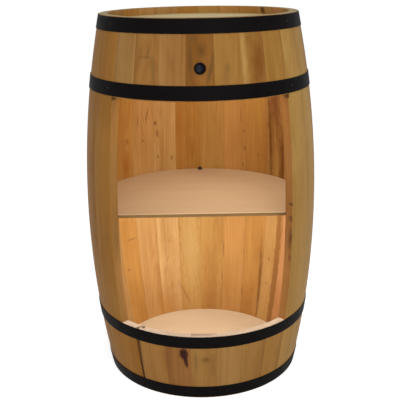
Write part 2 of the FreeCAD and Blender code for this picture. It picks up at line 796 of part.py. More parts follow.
def rounded_path(points):
    """Wire of straight runs joined by tangent arcs, each as large as its two runs allow."""
    edges = []
    last = points[0]
    for index in range(1, len(points) - 1):
        before = points[index] - points[index - 1]
        after = points[index + 1] - points[index]
        turn_angle = before.getAngle(after)
        share_before = END_SHARE if index == 1 else INNER_SHARE
        share_after = END_SHARE if index == len(points) - 2 else INNER_SHARE
        cut_back = min(share_before * before.Length, share_after * after.Length)
        into = (points[index - 1] - points[index]).normalize()
        out = (points[index + 1] - points[index]).normalize()
        reach = cut_back / math.tan(turn_angle / 2)
        centre = points[index] + (into + out).normalize() * (reach / math.cos(turn_angle / 2))
        middle = centre + (points[index] - centre).normalize() * reach
        first = points[index] + into * cut_back
        second = points[index] + out * cut_back
        edges.append(Part.LineSegment(last, first).toShape())
        edges.append(Part.Arc(first, middle, second).toShape())
        last = second
    edges.append(Part.LineSegment(last, points[-1]).toShape())
    return Part.Wire(edges)


def build_lead(label, points):
    """Round two-core lead along a route."""
    path = rounded_path(points)
    radius = number("sizes.lead_radius")
    section = Part.Wire(Part.makeCircle(radius, points[0], points[1] - points[0]))
    lead = document.addObject("Part::Feature", label)
    lead.Label = label
    lead.Shape = path.makePipeShell([section], True, False)
    print(f"{label}: {path.Length:.0f} mm, volume {lead.Shape.Volume:.1f}"
          f" against {math.pi * radius ** 2 * path.Length:.1f}")
    keep(lead)


def azimuths(start, end):
    """Evenly spaced azimuths between two, both left out, no more than one step apart."""
    count = math.ceil(abs(end - start) / LEAD_STEP)
    return [start + (end - start) * index / count for index in range(1, count)]


def wall_heights():
    """Evenly spaced heights of the leads' run up the wall, from above the shelf to the turn into the header."""
    low = number(ABOVE_SHELF)
    high = number(LEAD_RUN)
    count = math.ceil((high - low) / number("sizes.clip_pitch"))
    return [low + (high - low) * index / count for index in range(1, count)]


def side_run(shift):
    """A lead's azimuth on the left wall, shifted sideways by a share of the lead spacing."""
    spread = math.degrees(number("sizes.lead_spacing / sizes.bilge_radius"))
    return -number("sizes.side_notch_angle") + shift * spread


def terminal_end(name, across):
    """End of a switch terminal, and a point behind it, at a distance across the tab."""
    x = dict(TERMINALS)[name]
    seat = switch_seat()
    reach = number(TERMINAL_END)
    ends = []
    for back in ("sizes.lead_end_gap", "sizes.terminal_clearance"):
        ends.append(seat.multVec(Vector(number(x), number(across), reach - number(back))))
    return ends


def header_run(drop, start, end):
    """Points of a lead round the inside of the header between two azimuths, a drop below the upper run."""
    height = f"({LEAD_RUN} - {drop})"
    return [by_wall(azimuth, height) for azimuth in azimuths(start, end)]


def build_leads():
    """Leads from the grommet to the switch and from the switch to both strips."""
    under_shelf = f"({SHELF_LOW} - sizes.lead_radius - sizes.lead_wall_gap)"
    behind_cleats = (f"{radius_at(SHELF_LOW, INNER)} - sizes.cleat_depth - sizes.lead_radius"
                     f" - sizes.lead_wall_gap")
    drop_radius = f"{radius_at('sizes.shelf_top', INNER)} - sizes.notch_depth * {DROP_SHARE}"
    mouth = f"{radius_at('sizes.shelf_top', INNER)} - sizes.grommet_flange_thickness - sizes.lead_end_gap"

    run = side_run(-0.5)
    supply = [polar(180, mouth, "sizes.shelf_top"),
              polar(180, drop_radius, "sizes.shelf_top"),
              polar(180, drop_radius, under_shelf)]
    supply += [polar(azimuth, behind_cleats, under_shelf) for azimuth in azimuths(-180, run)]
    supply += [by_wall(run, under_shelf), by_wall(run, ABOVE_SHELF)]
    supply += [by_wall(run, str(height)) for height in wall_heights()]
    supply.append(by_wall(run, LEAD_RUN))
    supply += header_run("0", run, -HEADER_LEAVE)
    supply += reversed(terminal_end("left", "0"))
    build_lead("supply_lead", supply)

    run = side_run(0.5)
    lower = terminal_end("right", "-sizes.terminal_width / 3")
    lower.append(lower[1] + Vector(-2 * number("sizes.terminal_spacing"), number("sizes.terminal_clearance") / 2,
                                   -number("sizes.lead_spacing")))
    lower += header_run("sizes.lead_spacing", -HEADER_LEAVE, run)
    lower.append(by_wall(run, f"{LEAD_RUN} - sizes.lead_spacing"))
    lower += [by_wall(run, str(height)) for height in reversed(wall_heights())]
    lower += [by_wall(run, ABOVE_SHELF), by_wall(run, under_shelf)]
    end_x = f"(-{LOWER_STRIP_HALF} - sizes.lead_end_gap)"
    end_z = number(f"{SHELF_LOW} - sizes.lead_radius - sizes.lead_end_gap")
    lower.append(Vector(number(f"{end_x} - sizes.lead_approach"), number(LOWER_STRIP_Y), end_z))
    lower.append(Vector(number(end_x), number(LOWER_STRIP_Y), end_z))
    build_lead("lower_strip_lead", lower)

    upper = terminal_end("right", "sizes.terminal_width / 3")
    beyond = number("sizes.upper_strip_half_angle + sizes.strip_lead_angle")
    upper += header_run("0", HEADER_LEAVE, beyond)
    upper.append(by_wall(beyond, LEAD_RUN))
    upper.append(by_wall(beyond, UPPER_STRIP_MIDDLE, "sizes.flat_seat"))
    end = number("sizes.upper_strip_half_angle + 2 * sizes.lead_end_gap / sizes.bilge_radius * 180 / pi")
    upper.append(by_wall(end, UPPER_STRIP_MIDDLE, "sizes.flat_seat"))
    build_lead("upper_strip_lead", upper)


def clip(name, placement, across, along):
    """Saddle clip on the wall: local Z points into the wall, the leads pass along local X or Y."""
    cover = "(2 * sizes.lead_radius + sizes.lead_wall_gap + sizes.clip_gap)"
    outer = block(f"{name}_body", placement, across[0], along[0], f"{cover} + sizes.clip_wall",
                  f"-{cover} - sizes.clip_wall - sizes.flat_seat")
    slot = block(f"{name}_slot", placement, across[1], along[1], cover, f"-{cover} - sizes.flat_seat")
    difference = document.addObject("Part::Cut", name)
    difference.Base = outer
    difference.Tool = slot
    return difference


def build_clips():
    """Clips along the run up the left wall and round the header."""
    slot = "(sizes.lead_spacing + 2 * sizes.lead_radius + 2 * sizes.clip_gap)"
    saddle = f"({slot} + 2 * sizes.clip_wall)"
    through = "2 * sizes.clip_width"
    clips = []
    for index, height in enumerate(wall_heights()):
        seat = on_wall(-number("sizes.side_notch_angle"), str(height), INNER)
        clips.append(clip(f"wall_clip_{index + 1}", seat, (saddle, slot), ("sizes.clip_width", through)))
    middle = f"({LEAD_RUN} - sizes.lead_spacing / 2)"
    for index, azimuth in enumerate(azimuths(side_run(0), -HEADER_LEAVE)[1:-1:2]):
        seat = on_wall(azimuth, middle, INNER)
        clips.append(clip(f"header_clip_{index + 1}", seat, ("sizes.clip_width", through), (saddle, slot)))
    keep(group("lead_clips", clips))


# ---- build, check and write

build_fasteners()
build_staves()
build_front_staves()
build_hoops()
build_heads()
build_shelf()
build_cleats()
build_grommet()
build_switch()
build_strips()
build_leads()
build_clips()
document.recompute()

for item in document.Objects:
    if "Invalid" in item.State or "Error" in item.State:
        raise RuntimeError(f"{item.Name} failed: {item.State}")
for label, part in parts.items():
    if part.Shape.isNull() or not part.Shape.isValid():
        raise RuntimeError(f"{label} has no valid shape")

os.makedirs("parts", exist_ok=True)
for label, part in parts.items():
    part.Shape.exportStep(os.path.join("parts", f"{label}.step"))
print(f"{len(parts)} parts written")
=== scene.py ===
import logging
import math
import random
from dataclasses import dataclass, field, replace
from enum import Enum
from typing import Iterator, Sequence, Union

import bmesh
import bpy
from mathutils import Matrix, Vector


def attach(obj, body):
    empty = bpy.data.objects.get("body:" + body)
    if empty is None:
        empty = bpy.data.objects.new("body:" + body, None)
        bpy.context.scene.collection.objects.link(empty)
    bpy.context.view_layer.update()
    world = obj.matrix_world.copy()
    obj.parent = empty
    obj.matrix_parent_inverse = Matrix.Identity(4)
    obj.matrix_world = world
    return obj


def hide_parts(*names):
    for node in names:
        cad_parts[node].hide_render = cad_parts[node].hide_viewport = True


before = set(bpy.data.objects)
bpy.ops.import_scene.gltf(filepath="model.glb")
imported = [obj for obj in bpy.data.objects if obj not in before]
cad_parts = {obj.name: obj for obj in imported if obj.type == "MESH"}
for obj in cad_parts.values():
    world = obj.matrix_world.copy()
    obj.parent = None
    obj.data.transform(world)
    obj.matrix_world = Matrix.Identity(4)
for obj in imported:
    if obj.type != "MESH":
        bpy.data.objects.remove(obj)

logging.basicConfig(level=logging.INFO, format="%(name)s: %(message)s")
log = logging.getLogger("barrel_cabinet")

Colour = tuple[float, float, float]
Place = tuple[float, float, float]
Socket = bpy.types.NodeSocket
Material = bpy.types.Material
Mesh = bpy.types.Mesh
Object = bpy.types.Object
Shape = bmesh.types.BMesh
Value = Union[Socket, float, Sequence[float]]

MM = 0.001
THOUSAND = 1000.0
FULL_TURN = 360.0
WHITE: Colour = (1.0, 1.0, 1.0)

# Angles between faces: past the first an edge is shown sharp, on boards past the second. Past the third it is
# eased, and under the fourth two faces are one flat.
SHOWN_ANGLE = math.radians(32.0)
BOARD_SHOWN_ANGLE = math.radians(15.0)
EASED_ANGLE = math.radians(50.0)
FLAT_ANGLE = math.radians(0.6)

# Distances under which two points are one: in a solid's mesh, and where a hoop closes.
SOLID_WELD = 1e-6
HOOP_WELD = 1e-7


# ---- the cask's form

class Face(Enum):
    """Side of the wall that a mark in the wood shows on."""

    OUTSIDE = "outside"
    INSIDE = "inside"


@dataclass(frozen=True)
class CaskForm:
    """Bend and main sizes of the cask. Lengths are in metres, angles in degrees from the front centre."""

    height: float = 0.810
    bilge_height: float = 0.389
    bilge_radius: float = 0.2585
    bend_radius: float = 1.950
    wall: float = 0.018
    opening_half_angle: float = 47.0
    opening_bottom: float = 0.1585
    opening_top: float = 0.6552
    groove_width: float = 0.008
    groove_depth: float = 0.004
    floor_groove: float = 0.004
    top_groove: float = 0.786
    side_staves: int = 18
    front_staves: int = 7

    def radius(self, height: float, offset: float = 0.0) -> float:
        """Gives the radius of the bent wall.

        Args:
            height: Height above the floor.
            offset: Distance outside the staves' outer face, negative for inside.

        Returns:
            The radius from the cask's upright axis.
        """
        reach = self.bend_radius + offset
        rise = height - self.bilge_height
        return self.bilge_radius - self.bend_radius + math.sqrt(reach * reach - rise * rise)

    def point(self, azimuth: float, height: float, offset: float = 0.0) -> Vector:
        """Gives a point of the wall from an azimuth in radians, a height and an offset."""
        radius = self.radius(height, offset)
        return Vector((radius * math.sin(azimuth), -radius * math.cos(azimuth), height))

    def seat(self, azimuth: float, height: float, offset: float = 0.0) -> Matrix:
        """Gives a place on the wall for a fitting.

        Args:
            azimuth: Angle from the front centre, in degrees.
            height: Height on the bend where the place lies.
            offset: Distance outside the outer face, along its normal.

        Returns:
            A matrix whose Z points straight out of the wall, X to the right and Y up.
        """
        turn = math.radians(azimuth)
        rise = math.asin((height - self.bilge_height) / (self.bend_radius + offset))
        level = Vector((math.sin(turn), -math.cos(turn), 0.0))
        out = level * math.cos(rise) + Vector((0.0, 0.0, math.sin(rise)))
        right = Vector((0.0, 0.0, 1.0)).cross(out).normalized()
        spot = level * (self.bilge_radius - self.bend_radius)
        spot += Vector((0.0, 0.0, self.bilge_height)) + out * (self.bend_radius + offset)
        turned = Matrix((right, out.cross(right), out)).transposed().to_4x4()
        return Matrix.Translation(spot) @ turned

    @property
    def side_step(self) -> float:
        """Width of a full-length stave, in degrees."""
        return (FULL_TURN - 2.0 * self.opening_half_angle) / self.side_staves

    @property
    def front_step(self) -> float:
        """Width of a short stave above or below the opening, in degrees."""
        return 2.0 * self.opening_half_angle / self.front_staves


FORM = CaskForm()


# ---- node graphs

class Graph:
    """Node tree, emptied first, with short calls for the nodes that the finishes need."""

    def __init__(self, tree: bpy.types.NodeTree) -> None:
        """Empties and wraps a node tree."""
        self.tree = tree
        tree.nodes.clear()

    def node(self, kind: str, **settings: object) -> bpy.types.Node:
        """Adds a node and sets its properties."""
        made = self.tree.nodes.new(kind)
        for name, setting in settings.items():
            setattr(made, name, setting)
        return made

    def feed(self, socket: Socket, value: Value) -> None:
        """Links a socket's source, or sets its constant."""
        if isinstance(value, Socket):
            self.tree.links.new(value, socket)
        elif isinstance(value, (int, float)):
            socket.default_value = value
        else:
            socket.default_value = tuple(value) + (1.0,) * (len(socket.default_value) - len(value))

    def _filled(self, made: bpy.types.Node, values: Sequence[Value]) -> Socket:
        """Feeds a node's inputs in order and gives its first output."""
        for socket, value in zip(made.inputs, values):
            self.feed(socket, value)
        return made.outputs[0]

    def maths(self, operation: str, *values: Value, clamp: bool = False) -> Socket:
        """Adds a Math node over up to three values."""
        return self._filled(self.node("ShaderNodeMath", operation=operation, use_clamp=clamp), values)

    def plus(self, first: Value, second: Value) -> Socket:
        """Adds two numbers."""
        return self.maths("ADD", first, second)

    def minus(self, first: Value, second: Value) -> Socket:
        """Takes one number from another."""
        return self.maths("SUBTRACT", first, second)

    def times(self, first: Value, second: Value) -> Socket:
        """Multiplies two numbers."""
        return self.maths("MULTIPLY", first, second)

    def scaled(self, value: Value, factor: Value, offset: Value) -> Socket:
        """Multiplies a number, then adds an offset."""
        return self.maths("MULTIPLY_ADD", value, factor, offset)

    def swing(self, noise: Value, reach: float, middle: Value) -> Socket:
        """Swings a noise evenly to both sides of a middle."""
        return self.scaled(self.minus(noise, 0.5), reach, middle)

    def hypot(self, first: Value, second: Value) -> Socket:
        """Gives the length of two sides at a right angle."""
        return self.maths("SQRT", self.plus(self.times(first, first), self.times(second, second)))

    def vector(self, operation: str, *values: Value) -> Socket:
        """Adds a Vector Math node and gives its vector output."""
        return self._filled(self.node("ShaderNodeVectorMath", operation=operation), values)

    def split(self, vector: Value) -> tuple[Socket, Socket, Socket]:
        """Splits a vector into its three lengths."""
        made = self.node("ShaderNodeSeparateXYZ")
        self.feed(made.inputs[0], vector)
        return made.outputs[0], made.outputs[1], made.outputs[2]

    def join(self, *lengths: Value) -> Socket:
        """Joins three lengths into a vector."""
        return self._filled(self.node("ShaderNodeCombineXYZ"), lengths)

    def noise(self, vector: Value, scale: Union[float, Place], detail: float = 2.0, rough: float = 0.5,
              warp: float = 0.0) -> Socket:
        """Adds a noise texture.

        Args:
            vector: Place in the noise.
            scale: How much the place is scaled, evenly or along each axis.
            detail: Octaves.
            rough: Weight of the finer octaves.
            warp: Distortion.

        Returns:
            The noise's factor, about a half on average.
        """
        place = self.vector("MULTIPLY", vector, (scale,) * 3 if isinstance(scale, float) else scale)
        made = self.node("ShaderNodeTexNoise")
        for name, value in (("Vector", place), ("Scale", 1.0), ("Detail", detail), ("Roughness", rough),
                            ("Distortion", warp)):
            self.feed(made.inputs[name], value)
        return made.outputs["Fac"]

    def ease(self, value: Value, low: float, high: float, start: float = 0.0, end: float = 1.0) -> Socket:
        """Maps a value smoothly from one range to another, and holds it at both ends."""
        made = self.node("ShaderNodeMapRange", interpolation_type="SMOOTHSTEP")
        for name, number in (("From Min", low), ("From Max", high), ("To Min", start), ("To Max", end),
                             ("Value", value)):
            self.feed(made.inputs[name], number)
        return made.outputs["Result"]

    def mix(self, factor: Value, first: Value, second: Value) -> Socket:
        """Mixes two colours."""
        made = self.node("ShaderNodeMix", data_type="RGBA", blend_type="MIX")
        for index, value in ((0, factor), (6, first), (7, second)):
            self.feed(made.inputs[index], value)
        return made.outputs[2]

    def brighten(self, colour: Value, factor: Value) -> Socket:
        """Multiplies a colour by a number."""
        made = self.node("ShaderNodeVectorMath", operation="SCALE")
        self.feed(made.inputs[0], colour)
        self.feed(made.inputs["Scale"], factor)
        return made.outputs[0]

    def mottle(self, colour: Value, noise: Value, reach: float, low: float) -> Socket:
        """Brightens a colour by a noise, from a low end and over a reach."""
        return self.brighten(colour, self.scaled(noise, reach, low))

    def place(self) -> Socket:
        """Gives the place on the piece, in metres."""
        return self.node("ShaderNodeTexCoord").outputs["Object"]

    def attribute(self, name: str, output: str) -> Socket:
        """Reads a mesh attribute."""
        return self.node("ShaderNodeAttribute", attribute_name=name).outputs[output]

    def level(self) -> Socket:
        """Gives how level a face lies, one where it looks straight up or down."""
        normal = self.node("ShaderNodeNewGeometry").outputs["Normal"]
        return self.maths("ABSOLUTE", self.split(normal)[2])


class Surface(Graph):
    """Graph of a material that ends in one principled shader."""

    def __init__(self, name: str) -> None:
        """Starts a material of a name."""
        self.material = bpy.data.materials.new(name)
        self.material.use_nodes = True
        super().__init__(self.material.node_tree)
        self.shader = self.node("ShaderNodeBsdfPrincipled")
        self.feed(self.node("ShaderNodeOutputMaterial").inputs["Surface"], self.shader.outputs[0])

    def softwood(self, grain: Value, seed: float, light: Colour, dark: Colour, figure: float,
                 swirl: Value = 0.0) -> bpy.types.bpy_prop_collection:
        """Adds the shared sawn softwood.

        Args:
            grain: Place in the wood: across the grain, through the board and along the grain.
            seed: What sets this board apart.
            light: Its early wood.
            dark: Its late wood.
            figure: Strength of the figure.
            swirl: How far its rings are pulled round a knot.

        Returns:
            The group's outputs: Color, Height and Streak.
        """
        wood = self.node("ShaderNodeGroup", node_tree=GrainGroup.tree())
        self._filled(wood, (grain, seed, light, dark, figure, swirl))
        return wood.outputs

    def done(self, colour: Value, rough: Value, relief: tuple[Value, float, float], **others: Value) -> Material:
        """Feeds the shader.

        Args:
            colour: The base colour.
            rough: The roughness.
            relief: A height between nought and one that bends the normal, its depth and its strength.
            others: Further sockets, named with underscores for spaces.

        Returns:
            The finished material.
        """
        height, depth, strength = relief
        bump = self.node("ShaderNodeBump")
        for name, value in (("Strength", strength), ("Distance", depth), ("Height", height)):
            self.feed(bump.inputs[name], value)
        others.update(Base_Color=colour, Roughness=rough, Normal=bump.outputs["Normal"])
        for name, value in others.items():
            self.feed(self.shader.inputs[name.replace("_", " ")], value)
        return self.material


# ---- finishes

@dataclass(frozen=True)
class Finish:
    """What a piece is made of and coated with."""

    name: str
    slot: str

    def material(self) -> Material:
        """Makes the material, or gives the one made before."""
        return bpy.data.materials.get(self.name) or self._make(Surface(self.name))

    def _make(self, surface: Surface) -> Material:
        """Builds the material's nodes."""
        raise NotImplementedError


class MarkKind(Enum):
    """What a mark in the wood is."""

    KNOT = "knot"
    STREAK = "streak"
    FLECK = "fleck"


@dataclass(frozen=True)
class Mark:
    """Knot, dark streak or fleck, at a place on the cask. Sizes are half widths and half heights in metres."""

    kind: MarkKind
    face: Face
    azimuth: float
    height: float
    across: float
    along: float
    colour: Colour
    strength: float
    lean: float = 0.0

    @property
    def heart(self) -> Colour:
        """The redder colour at the heart of a knot."""
        red, green, blue = self.colour
        return red * 2.6, green * 2.1, blue * 1.6


class GrainGroup:
    """Shared node group that turns a place in a slat into sawn softwood."""

    NAME = "sawn_softwood"
    SEED_STEPS = (1.7, 0.9, 2.3)
    RINGS_PER_METRE = 230.0
    LATE_WOOD = (0.25, 0.86, 1.0)
    PITH_DEPTH = 0.050
    PITH_SPREAD = 0.07
    KNOT_PULL = 0.012

    @classmethod
    def tree(cls) -> bpy.types.NodeTree:
        """Makes the group, or gives the one made before."""
        return bpy.data.node_groups.get(cls.NAME) or cls._make()

    @classmethod
    def _make(cls) -> bpy.types.NodeTree:
        """Builds the group's sockets and nodes."""
        tree = bpy.data.node_groups.new(cls.NAME, "ShaderNodeTree")
        for in_out, sockets in (
                ("INPUT", (("Grain", "Vector"), ("Seed", "Float"), ("Light", "Color"), ("Dark", "Color"),
                           ("Figure", "Float"), ("Swirl", "Float"))),
                ("OUTPUT", (("Color", "Color"), ("Height", "Float"), ("Streak", "Float")))):
            for name, kind in sockets:
                tree.interface.new_socket(name, in_out=in_out, socket_type=f"NodeSocket{kind}")
        graph = Graph(tree)
        inputs = graph.node("NodeGroupInput").outputs
        output = graph.node("NodeGroupOutput")
        grain, seed = inputs["Grain"], inputs["Seed"]
        seeded = graph.vector("ADD", grain, graph.join(*(graph.times(seed, step) for step in cls.SEED_STEPS)))

        across, depth, _ = graph.split(grain)
        drift = graph.minus(graph.noise(seeded, (5.0, 5.0, 0.9)), 0.5)
        tremble = graph.minus(graph.noise(seeded, (60.0, 60.0, 9.0)), 0.5)
        pith = graph.minus(graph.maths("FRACT", graph.times(seed, 7.31)), 0.5)
        side = graph.scaled(drift, 0.10, graph.scaled(pith, cls.PITH_SPREAD, across))
        deep = graph.scaled(drift, 0.12, graph.plus(depth, cls.PITH_DEPTH))
        distance = graph.plus(graph.hypot(side, deep), graph.times(inputs["Swirl"], cls.KNOT_PULL))
        turn = graph.maths("FRACT", graph.scaled(distance, cls.RINGS_PER_METRE, graph.times(tremble, 1.1)))
        early, latest, whole = cls.LATE_WOOD
        late = graph.times(graph.ease(turn, early, latest), graph.ease(turn, latest, whole, 1.0, 0.0))

        fibre = graph.noise(seeded, (1500.0, 1500.0, 22.0), 2.0, 0.6)
        streak = graph.noise(seeded, (120.0, 120.0, 3.0), 3.0, 0.6)
        broad = graph.noise(seeded, (30.0, 30.0, 1.8))
        patches = graph.noise(seeded, (16.0, 16.0, 7.0), 3.0, 0.55, 0.4)
        tone = graph.times(graph.minus(streak, 0.5), 0.9)
        tone = graph.swing(patches, 1.6, graph.swing(broad, 1.5, tone))
        tone = graph.scaled(graph.minus(late, 0.35), -0.26, tone)
        tone = graph.maths("MULTIPLY_ADD", tone, inputs["Figure"], 0.5, clamp=True)
        colour = graph.mix(tone, inputs["Dark"], inputs["Light"])
        graph.feed(output.inputs["Color"], graph.brighten(colour, graph.swing(fibre, 0.18, 1.0)))
        graph.feed(output.inputs["Height"], graph.scaled(fibre, 0.7, graph.times(late, 0.3)))
        graph.feed(output.inputs["Streak"], streak)
        return tree


@dataclass(frozen=True)
class Timber:
    """One stave's timber: its grain colours, how its faces are tinted, the painted shade on its side faces, and its
    sawn ends.
    """

    outside: Colour = WHITE
    inside: Colour = WHITE
    light: Colour = (0.400, 0.222, 0.077)
    dark: Colour = (0.270, 0.128, 0.036)
    end: Colour = (0.46, 0.36, 0.20)
    stain: Colour = (0.73, 0.69, 0.545)
    # Painted shade on the side faces, which show at the opening's jambs: they are tinted darker than the faces beside
    # them.
    side: Colour = (0.71, 0.61, 0.53)


@dataclass(frozen=True)
class StaveWood(Finish):
    """Lacquered softwood of one stave, with its own timber, grain and marks."""

    azimuth: float
    timber: Timber
    seed: float
    figure: float
    seam: float
    marks: tuple[Mark, ...]
    seam_colour: Colour = (0.075, 0.034, 0.012)
    seam_width: float = 0.0014
    # Distances from the long edge over which the painted shade of the side faces fades out.
    side_shade_start: float = 0.00005
    side_shade_end: float = 0.00025
    sawn_start: float = 0.75
    sawn_end: float = 0.95
    stain_low: float = -0.012
    stain_high: float = -0.006
    knot_reach: float = 4.5

    def _make(self, surface: Surface) -> Material:
        """Builds the wood, its marks, its sawn ends, the painted shade on its side faces and the fine dark line at
        its joints.
        """
        grain = surface.attribute("grain", "Vector")
        joint = surface.attribute("joint", "Fac")
        across, depth, along = surface.split(grain)
        outer = surface.ease(depth, self.stain_low, self.stain_high)
        ragged = surface.minus(surface.noise(grain, (260.0, 260.0, 60.0)), 0.5)
        masks = []
        swirl: Value = 0.0
        for mark in self.marks:
            spread = self._spread(surface, mark, across, along)
            shown = outer if mark.face is Face.OUTSIDE else surface.minus(1.0, outer)
            full = 0.0 if mark.kind is MarkKind.STREAK else 0.55
            mask = surface.ease(surface.scaled(ragged, 0.9, spread), full, 1.2, mark.strength, 0.0)
            masks.append((mark, surface.times(mask, shown), spread))
            if mark.kind is MarkKind.KNOT:
                pull = surface.ease(spread, 0.6, self.knot_reach, 1.0, 0.0)
                swirl = surface.plus(swirl, surface.times(pull, shown))
        timber = self.timber
        wood = surface.softwood(grain, self.seed, timber.light, timber.dark, self.figure, swirl)
        stained = tuple(tint * stain for tint, stain in zip(timber.outside, timber.stain))
        tint = surface.mix(outer, timber.inside, stained)
        # Painted shade: the side faces, which show at the jambs, take the darker side tint.
        tint = surface.mix(surface.ease(joint, self.side_shade_start, self.side_shade_end, 1.0, 0.0), tint, timber.side)
        colour = surface.vector("MULTIPLY", wood["Color"], tint)
        sawn = surface.ease(surface.level(), self.sawn_start, self.sawn_end)
        pores = surface.noise(grain, 1800.0, 1.0)
        end = surface.mottle(surface.mix(0.85, wood["Color"], timber.end), pores, 0.5, 0.72)
        colour = surface.mix(sawn, colour, end)
        for mark, mask, spread in masks:
            tint = surface.mix(surface.ease(spread, 0.25, 0.6), mark.heart, mark.colour)
            colour = surface.mix(mask, colour, tint if mark.kind is MarkKind.KNOT else mark.colour)
        seam = surface.plus(joint, surface.times(ragged, 0.0008))
        seam = surface.ease(seam, 0.0001, self.seam_width, self.seam, 0.0)
        patchy = surface.noise(grain, (30.0, 30.0, 14.0))
        seam = surface.times(seam, surface.ease(patchy, 0.36, 0.60, 0.35, 1.0))
        colour = surface.mix(seam, colour, self.seam_colour)
        rough = surface.scaled(sawn, 0.25, surface.scaled(wood["Streak"], 0.16, 0.44))
        return surface.done(colour, rough, (wood["Height"], 0.00025, 0.5), Specular_IOR_Level=0.04)

    def _spread(self, surface: Surface, mark: Mark, across: Socket, along: Socket) -> Socket:
        """Gives a mark's own distance field.

        Args:
            surface: Graph that the nodes go into.
            mark: The mark.
            across: Distance across the slat.
            along: Height on the slat.

        Returns:
            A number that is one on the mark's ellipse.
        """
        offset = 0.0 if mark.face is Face.OUTSIDE else -FORM.wall
        middle = math.radians(mark.azimuth - self.azimuth) * FORM.radius(mark.height, offset)
        rise = surface.minus(along, mark.height)
        aside = surface.scaled(rise, -mark.lean, surface.minus(across, middle))
        return surface.hypot(surface.maths("DIVIDE", aside, mark.across), surface.maths("DIVIDE", rise, mark.along))


@dataclass(frozen=True)
class BoardWood(Finish):
    """Thin plywood: pale face with faint grain, plies on its edge, and a painted highlight that makes the strip in
    front of the highlight's end paler.
    """

    light: Colour
    dark: Colour
    low: float
    seed: float
    edge: Colour = (0.42, 0.27, 0.13)
    # Colour of the painted highlight on the front strip, where the strip ends and how softly.
    front_highlight: Colour = (0.68, 0.51, 0.31)
    front_highlight_end: float = -1.0
    front_highlight_blur: float = 0.0006
    thickness: float = 0.008
    plies: float = 5.0
    figure: float = 0.55

    def _make(self, surface: Surface) -> Material:
        """Builds the face grain and the layered edge."""
        place = surface.place()
        x, y, z = surface.split(place)
        face = surface.join(y, surface.plus(surface.times(z, 0.05), -0.02), x)
        wood = surface.softwood(face, self.seed, self.light, self.dark, self.figure)
        layer = surface.times(surface.minus(z, self.low), self.plies / self.thickness)
        layers = surface.ease(surface.maths("PINGPONG", layer, 1.0), 0.35, 0.65, 0.72, 1.12)
        speck = surface.scaled(surface.noise(place, (420.0, 420.0, 1300.0)), 0.7, 0.65)
        edge = surface.brighten(self.edge, surface.times(layers, speck))
        # Painted highlight: the strip in front of the highlight's end is paler.
        front_highlighted = surface.ease(y, self.front_highlight_end - self.front_highlight_blur, self.front_highlight_end + self.front_highlight_blur, 0.75, 0.0)
        board = surface.mix(front_highlighted, wood["Color"], self.front_highlight)
        colour = surface.mix(surface.ease(surface.level(), 0.6, 0.8), edge, board)
        rough = surface.scaled(surface.noise(place, 38.0, 4.0, 0.65), 0.2, 0.42)
        return surface.done(colour, rough, (wood["Height"], 0.00012, 0.5), Specular_IOR_Level=0.3)


@dataclass(frozen=True)
class BattenWood(Finish):
    """Sawn softwood batten with saw marks."""

    light: Colour = (0.60, 0.42, 0.22)
    dark: Colour = (0.42, 0.25, 0.10)

    def _make(self, surface: Surface) -> Material:
        """Builds the batten's grain, which runs level round the wall."""
        place = surface.place()
        x, y, z = surface.split(place)
        turned = surface.join(z, surface.plus(x, y), surface.minus(x, y))
        wood = surface.softwood(turned, 5.3, self.light, self.dark, 0.8)
        saw = surface.noise(place, (1400.0, 1400.0, 60.0), 1.0)
        return surface.done(wood["Color"], 0.7, (saw, 0.0003, 0.5), Specular_IOR_Level=0.25)


@dataclass(frozen=True)
class Enamel(Finish):
    """Satin enamel on steel, rubbed thin along edges and on crowns."""

    colour: Colour = (0.0032, 0.0026, 0.0025)
    worn: Colour = (0.030, 0.024, 0.020)
    rough: float = 0.55
    wear: float = 0.30
    worn_width: float = 0.0012

    def _make(self, surface: Surface) -> Material:
        """Builds the coat, its dust and its wear."""
        place = surface.place()
        edge = surface.attribute("joint", "Fac")
        cloud = surface.noise(place, (26.0, 26.0, 40.0), 4.0, 0.6)
        grit = surface.noise(place, 900.0, 2.0, 0.6)
        chip = surface.noise(place, 230.0, 3.0, 0.6)
        near = surface.ease(surface.scaled(cloud, -self.worn_width, edge), 0.0001, self.worn_width, 1.0, 0.0)
        bare = surface.times(near, surface.ease(chip, 0.46, 0.62, 0.0, self.wear))
        colour = surface.mix(bare, surface.mottle(self.colour, cloud, 1.4, 0.35), self.worn)
        rough = surface.swing(cloud, 0.28, self.rough)
        return surface.done(colour, rough, (grit, 0.00006, 0.6), Specular_IOR_Level=0.025)


@dataclass(frozen=True)
class Moulded(Finish):
    """Moulded plastic or rubber."""

    colour: Colour
    rough: float
    specular: float
    mottling: float = 0.25

    def _make(self, surface: Surface) -> Material:
        """Builds the moulded skin."""
        place = surface.place()
        cloud = surface.noise(place, 180.0, 3.0)
        skin = surface.noise(place, 700.0)
        colour = surface.mottle(self.colour, cloud, 2.0 * self.mottling, 1.0 - self.mottling)
        rough = surface.swing(cloud, 0.15, self.rough)
        return surface.done(colour, rough, (skin, 0.00003, 0.5), Specular_IOR_Level=self.specular)


